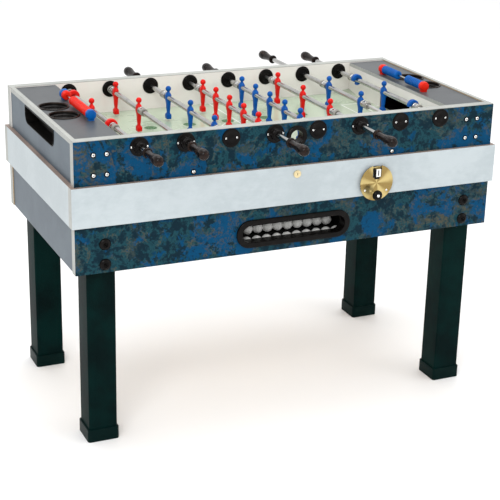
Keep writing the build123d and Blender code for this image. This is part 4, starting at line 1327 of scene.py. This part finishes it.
@dataclass
class Bearings:
    """Bearing plates, inner discs and the serve ring of the playing box."""

    rods: list[PlayerRod]
    face: float = 0.365
    inner: float = 0.335
    axis_z: float = 0.939
    tube_bore: float = 0.00805
    shaft_bore: float = 0.00555
    sleeve: float = 0.013
    plate: float = 0.029

    def boss(self) -> bpy.types.Mesh:
        """A handle-side plate with its stepped boss and the sleeve behind it, facing +Y."""
        board = self.face - self.inner
        outline = rounded([
            (-board, self.tube_bore), (-board, self.sleeve), (0, self.sleeve), (0, self.plate),
            (0.0025, self.plate), (0.004, self.plate - 0.0016), (0.004, 0.0202), (0.0068, 0.0200),
            (0.0076, 0.0188), (0.0130, 0.0184), (0.0168, 0.0176), (0.0184, 0.0150), (0.0212, 0.0142),
            (0.0230, 0.0124), (0.0230, self.tube_bore)], 0.0009, 2, True)
        shape = Shape()
        shape.turned(0, 0, outline, sides=48, looped=True)
        return shape.finished("boss_plate", [BLACK_SMOOTH], 30)

    def blank(self) -> bpy.types.Mesh:
        """A closed plate with a dished face, facing +Y."""
        outline = [(0, POLE), (0, self.plate - 0.0004), (0.0006, self.plate), (0.0022, self.plate),
                   (0.0034, self.plate - 0.0008), (0.0040, self.plate - 0.0024), (0.0040, 0.0215),
                   (0.0036, 0.0208), (0.0036, 0.0070), (0.0040, 0.0055), (0.0042, POLE)]
        shape = Shape()
        shape.turned(0, 0, outline, sides=48)
        return shape.finished("blank_plate", [BLACK_SMOOTH], 30)

    def disc(self) -> bpy.types.Mesh:
        """An inner disc with two ridges, standing off a wall towards -Y."""
        outline = rounded([
            (-0.0002, self.tube_bore), (-0.0002, 0.0275), (-0.0018, 0.0275), (-0.0034, 0.0263),
            (-0.0034, 0.0234), (-0.0046, 0.0212), (-0.0050, 0.0180), (-0.0044, 0.0168),
            (-0.0044, 0.0132), (-0.0050, 0.0120), (-0.0050, self.tube_bore)], 0.0005, 2, True)
        shape = Shape()
        shape.turned(0, 0, outline, sides=48, looped=True)
        return shape.finished("inner_disc", [BLACK_SMOOTH], 30)

    def sleeve_disc(self) -> bpy.types.Mesh:
        """A blank side's inner disc with the sleeve of the inner shaft behind it, facing -Y."""
        deep = 0.356 - self.inner
        outline = rounded([
            (-0.005, self.shaft_bore), (-0.0050, 0.0120), (-0.0044, 0.0132), (-0.0044, 0.0168),
            (-0.0050, 0.0180), (-0.0046, 0.0222), (-0.0034, 0.0234), (-0.0034, 0.0263),
            (-0.0018, 0.0275), (0, 0.0275), (0, self.sleeve), (deep, self.sleeve),
            (deep, self.shaft_bore)], 0.0005, 2, True)
        shape = Shape()
        shape.turned(0, 0, outline, sides=48, looped=True)
        return shape.finished("sleeve_disc", [BLACK_SMOOTH], 30)

    def build(self) -> None:
        """Makes the plates and discs of all rods, and the serve ring."""
        kinds = {
            "boss": (self.boss, 1, self.face), "blank": (self.blank, -1, self.face),
            "disc": (self.disc, 1, self.inner), "sleeve_disc": (self.sleeve_disc, -1, self.inner),
        }
        for kind, (make, way, distance) in kinds.items():
            spots = []
            for rod in self.rods:
                side = way * rod.side.value
                spots.append((Vector((rod.x, side * distance, self.axis_z)), facing(side)))
            name = f"bearing_{kind}s"
            replaced = ["rod_bearings"] if kind == "boss" else []
            place(name, REPEAT.run(name, make(), spots), "upper_cabinet", replaced, "black_plastic")
        eased("serve_ring", "upper_cabinet", [BLACK_SMOOTH], 0.8, "black_plastic")


def driven_screw(
    name: str, washer: float, head: float, shank: float, length: float
) -> bpy.types.Mesh:
    """A round-headed screw with a cross recess, pointing along -Y and facing +Y.

    Args:
        name: the mesh's name.
        washer: radius of its cup washer, or 0 for none.
        head: radius of its head.
        shank: radius of its shank.
        length: length of its shank.
    Returns:
        The mesh.
    """
    shape = Shape()
    base = 0.0
    if washer:
        ring = rounded([
            (0, shank), (0, washer), (0.0012, washer - 0.0004), (0.0026, washer - 0.0022),
            (0.0026, head - 0.0002), (0.0016, head - 0.0010), (0.0016, shank)], 0.0004, 2, True)
        shape.turned(0, 0, ring, slot=1, sides=36, looped=True)
        base = 0.0016
    top = base + head * 0.42
    shape.turned(0, 0, [
        (-length, POLE), (-length, shank * 0.3), (-length + 0.002, shank), (base, shank), (base, head),
        (base + head * 0.10, head), (base + head * 0.24, head * 0.88), (base + head * 0.35, head * 0.66),
        (top, head * 0.40), (top, POLE)], sides=32)
    arm, wide, sink = head * 0.50, head * 0.11, head * 0.30
    cross = [(arm, wide), (wide, wide), (wide, arm), (-wide, arm), (-wide, wide), (-arm, wide),
             (-arm, -wide), (-wide, -wide), (-wide, -arm), (wide, -arm), (wide, -wide), (arm, -wide)]
    rim = top + head * 0.03
    shape.loft([[Vector((x, y, z)) for x, z in cross] for y in (top - sink, rim)], slot=2)
    return shape.finished(name, [BRIGHT, BLACK_SMOOTH, BLACK], 34)


@dataclass
class Screws:
    """The board screws in cup washers and the small plate screws."""

    rods: list[PlayerRod]
    face: float = 0.365
    xs: tuple[float, ...] = (-0.641, -0.601, 0.601, 0.641)
    zs: tuple[float, ...] = (0.865, 0.926)
    lone_x: float = 0.334
    lone_z: float = 0.846

    def build(self) -> None:
        """Makes every screw of the playing box."""
        places = [(x, z) for x in self.xs for z in self.zs]
        places += [(x, self.lone_z) for x in (-self.lone_x, self.lone_x)]
        spots = [(Vector((x, s * self.face, z)), facing(s)) for s in (-1, 1) for x, z in places]
        board = driven_screw("board_screw", 0.0085, 0.0056, 0.002, 0.024)
        mesh = REPEAT.run("board_screws", board, spots)
        place("board_screws", mesh, "upper_cabinet", ["panel_screws"], "bright_screws")
        spots = []
        for rod in self.rods:
            for way, offset in ((rod.side.value, 0.0245), (-rod.side.value, 0.0175)):
                for dx in (-offset, offset):
                    y = way * (self.face + 0.0038)
                    spots.append((Vector((rod.x + dx, y, rod.axis_z)), facing(way)))
        plate = driven_screw("plate_screw", 0.0, 0.0030, 0.001, 0.0036)
        mesh = REPEAT.run("plate_screws", plate, spots)
        place("plate_screws", mesh, "upper_cabinet", [], "bright_screws")


# ---- stand ---------------------------------------------------------------------------------------


@dataclass
class Stand:
    """The pale band, the lower box, the legs with their boots and bolts, and the hinges."""

    body: str = "base"
    bolt_x: float = 0.611
    bolt_zs: tuple[float, ...] = (0.592, 0.655)
    lower_y: float = 0.368
    head: float = 0.018
    nut_depth: float = 0.0332

    def band(self, centre: Vector, normal: Vector) -> int:
        """Pale laminate outside, light strips on the corners, brown on top."""
        if normal.z > 0.9:
            return 2
        if abs(normal.y) > 0.9 or (abs(normal.x) > 0.9 and abs(centre.y) < 0.1):
            return 0
        return 1 if abs(normal.x) > 0.9 else 3

    def lower(self, centre: Vector, normal: Vector) -> int:
        """Marbled laminate outside, a light strip on the ends, bare board inside."""
        if abs(normal.y) > 0.9 and abs(centre.y) > self.lower_y - 0.001:
            return 0
        return 1 if abs(normal.x) > 0.9 and abs(centre.x) > 0.70 else 2

    def lower_end(self, centre: Vector, normal: Vector) -> int:
        """Blue-grey laminate outside, bare board inside."""
        return 0 if abs(normal.x) > 0.9 and abs(centre.x) > 0.69 else 1

    def bolt(self) -> bpy.types.Mesh:
        """A domed black bolt with a socket, its shank and its nut behind the board, facing +Y."""
        shape = Shape()
        outline = rounded([
            (-0.0472, POLE), (-0.0472, 0.0042), (-0.0464, 0.005), (0.0, 0.005), (0.0, self.head),
            (0.0026, self.head), (0.0048, 0.0166), (0.0070, 0.0142), (0.0086, 0.0104), (0.0092, 0.0072),
            (0.0060, 0.0066), (0.0060, POLE)], 0.0010, 3)
        shape.turned(0, 0, outline, sides=40)
        shape.turned(0, 0, rounded([
            (0.0061, 0.0022), (0.0061, 0.0046), (0.0096, 0.0040), (0.0101, 0.0030), (0.0080, 0.0022)],
            0.0004, 2, True), sides=6, looped=True)
        near, far = -self.nut_depth, -self.nut_depth - 0.008
        shape.turned(0, 0, [(near, 0.0051), (near, 0.0088), (near - 0.001, 0.0096), (far + 0.001, 0.0096),
                            (far, 0.0088), (far, 0.0051)], slot=1, sides=6, looped=True)
        return shape.finished("leg_bolt", [BLACK_SMOOTH, ZINC], 34)

    def build(self) -> None:
        """Makes the stand's pieces."""
        band = [BAND_PALE, EDGE_LIGHT, EDGE_BROWN, BOARD]
        eased("band_panels", self.body, band, 0.6, "pale_laminate", self.band)
        long_side = [MARBLED, EDGE_LIGHT, BOARD]
        for node in ("lower_front_panel", "lower_rear_panel"):
            eased(node, self.body, long_side, 0.5, "marbled_laminate", self.lower)
        eased("lower_end_panels", self.body, [END_GREY, BOARD], 0.5, "grey_laminate", self.lower_end)
        eased("legs", self.body, [LEG_GREEN], 0.8, "leg_paint")
        eased("leg_boots", self.body, [BOOT_GREEN], 0.9, "boot_green")
        dress("base_board", BOARD)
        spots = [
            (Vector((e * self.bolt_x, s * self.lower_y, z)), facing(s))
            for s in (-1, 1) for e in (-1, 1) for z in self.bolt_zs
        ]
        bolts = REPEAT.run("leg_bolt_set", self.bolt(), spots)
        place("leg_bolt_set", bolts, self.body, ["leg_bolts"], "black_bolts")
        eased("hinge_lower_leaves", self.body, [ZINC], 0.3, "hinge_steel")
        eased("hinge_upper_leaves", "upper_cabinet", [ZINC], 0.3, "hinge_steel")


@dataclass
class BallStore:
    """The window, the tray, the balls, the return channels and the cash box."""

    body: str = "base"
    radius: float = 0.017
    pitch: float = 0.0344
    sides: int = 36
    rows: tuple[tuple[int, float, float], ...] = ((11, -0.320, 0.5862), (10, -0.284, 0.6152))

    def ball(self) -> bpy.types.Mesh:
        """One ball with a fine moulding seam."""
        shape = Shape()
        rings = []
        for i in range(1, 20):
            a = math.pi * i / 20
            seam = 0.00008 * math.exp(-(((i - 10) / 0.6) ** 2))
            r = (self.radius - seam) * math.sin(a)
            z = -self.radius * math.cos(a)
            rings.append(circle(r, self.sides, z))
        low, high = (circle(0.0003, self.sides, z) for z in (-self.radius, self.radius))
        shape.loft([low, *rings, high])
        return shape.finished("ball", [BALL], 60)

    def build(self) -> None:
        """Makes the store's pieces."""
        spots = []
        for count, y, z in self.rows:
            for i in range(count):
                turn = Vector((0.7 * i + y * 9, 1.3 * i, 0.4 * i))
                spots.append((Vector(((i - (count - 1) / 2) * self.pitch, y, z)), turn))
        place("ball_rows", REPEAT.run("ball_rows", self.ball(), spots), self.body, ["balls"], "white_balls")
        eased("tray_window_frame", self.body, [BLACK_SMOOTH], 1.2, "black_plastic", cuts=3)
        eased("ball_tray", self.body, [SHEET], 0.4, "tray_steel")
        eased("ball_return", self.body, [SHEET], 0.3, "tray_steel")
        eased("cash_box", self.body, [SHEET], 0.4, "tray_steel")


@dataclass
class CoinWorks:
    """The brass disc with its coin entry, the pull knob and the lock."""

    x: float = 0.273
    z: float = 0.755
    knob_x: float = 0.261
    knob_z: float = 0.724
    band_y: float = 0.378
    ring_depth: float = 0.008
    disc_depth: float = 0.003
    knob_gap: float = 0.022
    body: str = "base"

    @property
    def disc_front(self) -> float:
        """The front face of the disc."""
        return -self.band_y - self.ring_depth - self.disc_depth

    def plate(self, centre: Vector, normal: Vector) -> int:
        """Brass on the disc, chrome on the coin entry, black inside the notch."""
        entry = abs(centre.x - self.x) < 0.0082 and 0.0218 < centre.z - self.z < 0.0472
        if entry:
            return 1
        return 0 if centre.y < -self.band_y - 0.006 else 2

    def knob(self) -> None:
        """The pull knob with a knurled rim and a bright centre screw, on its stem."""
        back = self.disc_front - self.knob_gap
        shape = Shape()
        outline = [
            (back + 0.0004, 0.0051), (back, 0.0100), (back - 0.0010, 0.0112), (back - 0.0032, 0.0150),
            (back - 0.0045, 0.0160), (back - 0.0105, 0.0160), (back - 0.0122, 0.0150),
            (back - 0.0150, 0.0112), (back - 0.0158, 0.0090), (back - 0.0152, 0.0074), (back - 0.0138, POLE)]
        rings = []
        for y, r in [(back + 0.0006, POLE), *outline]:
            ring = []
            for k in range(72):
                a = math.tau * k / 72
                cut = r - abs(0.0005 * math.cos(18 * a)) if r > 0.0145 else r
                ring.append(Vector((self.knob_x + cut * math.cos(a), y, self.knob_z + cut * math.sin(a))))
            rings.append(ring)
        shape.loft(rings)
        shape.turned(self.knob_x, self.knob_z, [
            (-0.318, POLE), (-0.318, 0.0046), (-0.3186, 0.005), (back + 0.001, 0.005), (back + 0.001, POLE)],
            slot=1, sides=24)
        shape.turned(self.knob_x, self.knob_z, [
            (back - 0.0134, POLE), (back - 0.0134, 0.0050), (back - 0.0150, 0.0050), (back - 0.0164, 0.0040),
            (back - 0.0172, 0.0020), (back - 0.0174, POLE)], slot=1, sides=24)
        place("coin_knob_turned", shape.finished("coin_knob_turned", [BLACK_SMOOTH, BRIGHT], 34),
              "coin_knob", ["coin_knob"], "knob_black")

    def small_screws(self) -> None:
        """The two small screws low on the disc."""
        template = driven_screw("disc_screw", 0.0, 0.0034, 0.0012, 0.004)
        y = self.disc_front + 0.0002
        spots = [
            (Vector((self.x + dx, y, self.z + dz)), BACKWARD)
            for dx, dz in ((-0.040, -0.022), (0.036, -0.027))
        ]
        place("disc_screws", REPEAT.run("disc_screws", template, spots), self.body)

    def wedge(self) -> None:
        """The black wedge round the coin entry, just proud of the disc."""
        front = self.disc_front - 0.0006
        top, bottom, wide, narrow = 0.0470, 0.0120, 0.0165, 0.0085
        rings = []
        for y, inset in ((front + 0.0012, 0.0), (front + 0.0003, 0.0), (front, 0.0003)):
            corners = [
                (inset - wide, top - inset), (wide - inset, top - inset),
                (narrow - inset, bottom + inset), (inset - narrow, bottom + inset),
            ]
            rings.append([Vector((self.x + x, y, self.z + z)) for x, z in corners])
        shape = Shape()
        shape.loft(rings)
        place("coin_entry_wedge", shape.finished("coin_entry_wedge", [BLACK], 30), self.body)

    def build(self) -> None:
        """Makes the coin works and the lock."""
        self.wedge()
        eased("coin_plate", self.body, [DISC_BRASS, BRIGHT, BLACK], 0.4, "brass_plate", self.plate)
        self.knob()
        self.small_screws()
        eased("lock_cylinder", "lock_cylinder", [LOCK_BRASS], 0.3, "lock_brass")


# ---- studio --------------------------------------------------------------------------------------


@dataclass
class Studio:
    """Floor, lights and camera."""

    eye: tuple[float, float, float] = (-1.74696, -3.90761, 2.00634)
    yaw: float = 0.42458
    pitch: float = 0.35246
    roll: float = 0.02436
    lens: float = 97.188
    glow: float = 1.0
    lamps: tuple[tuple[str, Colour, Colour, float, float], ...] = (
        ("key", (-2.6, -3.6, 4.2), (0, 0, 0.75), 2.4, 120),
        ("fill", (3.8, -3.0, 2.6), (0, 0, 0.7), 3.0, 36),
        ("top", (0.3, 0.8, 4.8), (0, 0, 0.9), 3.0, 80),
    )

    def floor(self) -> None:
        """A pale floor."""
        g = Graph("pale_floor")
        soft = g.noise(3.0, 3.0, 0.5)
        shade = g.mix(soft.step(0.3, 0.7, 0.25), (0.97, 0.97, 0.97), (0.95, 0.95, 0.95))
        material = g.surface(Base_Color=shade, Roughness=0.55 + soft * 0.1)
        mesh = bpy.data.meshes.new("floor")
        mesh.from_pydata([(-40, -40, 0), (40, -40, 0), (40, 60, 0), (-40, 60, 0)], [], [(0, 1, 2, 3)])
        mesh.materials.append(material)
        floor = bpy.data.objects.new("floor", mesh)
        bpy.context.scene.collection.objects.link(floor)

    def lamp(self, name: str, spot: Colour, aim: Colour, size: float, power: float) -> None:
        """One soft square lamp."""
        light = bpy.data.lights.new(name, "AREA")
        light.shape = "SQUARE"
        light.size = size
        light.energy = power
        lamp = bpy.data.objects.new(name, light)
        lamp.location = spot
        lamp.rotation_euler = (Vector(aim) - Vector(spot)).to_track_quat("-Z", "Y").to_euler()
        bpy.context.scene.collection.objects.link(lamp)

    def camera(self) -> None:
        """The camera at the eye, with its turn worked out from yaw, pitch and roll."""
        level = math.cos(self.pitch)
        f = Vector((math.sin(self.yaw) * level, math.cos(self.yaw) * level, -math.sin(self.pitch)))
        r = f.cross(Vector((0, 0, 1))).normalized()
        u = r.cross(f)
        right = r * math.cos(self.roll) + u * math.sin(self.roll)
        up = u * math.cos(self.roll) - r * math.sin(self.roll)
        data = bpy.data.cameras.new("camera")
        data.sensor_width = 36.0
        data.lens = self.lens
        data.clip_end = 200.0
        cam = bpy.data.objects.new("camera", data)
        cam.matrix_world = Matrix((
            (right.x, up.x, -f.x, self.eye[0]), (right.y, up.y, -f.y, self.eye[1]),
            (right.z, up.z, -f.z, self.eye[2]), (0, 0, 0, 1)))
        bpy.context.scene.collection.objects.link(cam)
        bpy.context.scene.camera = cam

    def build(self) -> None:
        """Makes the studio."""
        self.floor()
        for lamp in self.lamps:
            self.lamp(*lamp)
        world = bpy.data.worlds.new("studio")
        world.use_nodes = True
        background = world.node_tree.nodes["Background"]
        background.inputs["Color"].default_value = (1, 1, 1, 1)
        background.inputs["Strength"].default_value = self.glow
        bpy.context.scene.world = world
        bpy.context.scene.view_settings.view_transform = "Standard"
        self.camera()


def main() -> None:
    """Builds every sub-assembly in order."""
    logging.basicConfig(level=logging.INFO, format="%(name)s: %(message)s")
    rods = [
        PlayerRod(1, "keeper", Side.FRONT, 0.084, Team.RED),
        PlayerRod(2, "two", Side.FRONT, 0.160, Team.RED),
        PlayerRod(3, "three", Side.REAR, -0.037, Team.BLUE),
        PlayerRod(4, "five", Side.FRONT, -0.014, Team.RED),
        PlayerRod(5, "five", Side.REAR, -0.012, Team.BLUE),
        PlayerRod(6, "three", Side.FRONT, 0.036, Team.RED),
        PlayerRod(7, "two", Side.REAR, 0.012, Team.BLUE),
        PlayerRod(8, "keeper", Side.REAR, 0.0, Team.BLUE),
    ]
    PlayingBox().build()
    DrinkCups().build()
    ScoreCounter("left", -0.575, 1, BEAD_RED, BEAD_BLUE, "red_plastic").build()
    ScoreCounter("right", 0.575, 5, BEAD_BLUE, BEAD_RED, "blue_plastic").build()
    figures = {Team.RED: Player(RED).build(), Team.BLUE: Player(BLUE).build()}
    for rod in rods:
        rod.build(figures)
    Bearings(rods).build()
    Screws(rods).build()
    Stand().build()
    BallStore().build()
    CoinWorks().build()
    Studio().build()


if __name__ == "__main__":
    main()
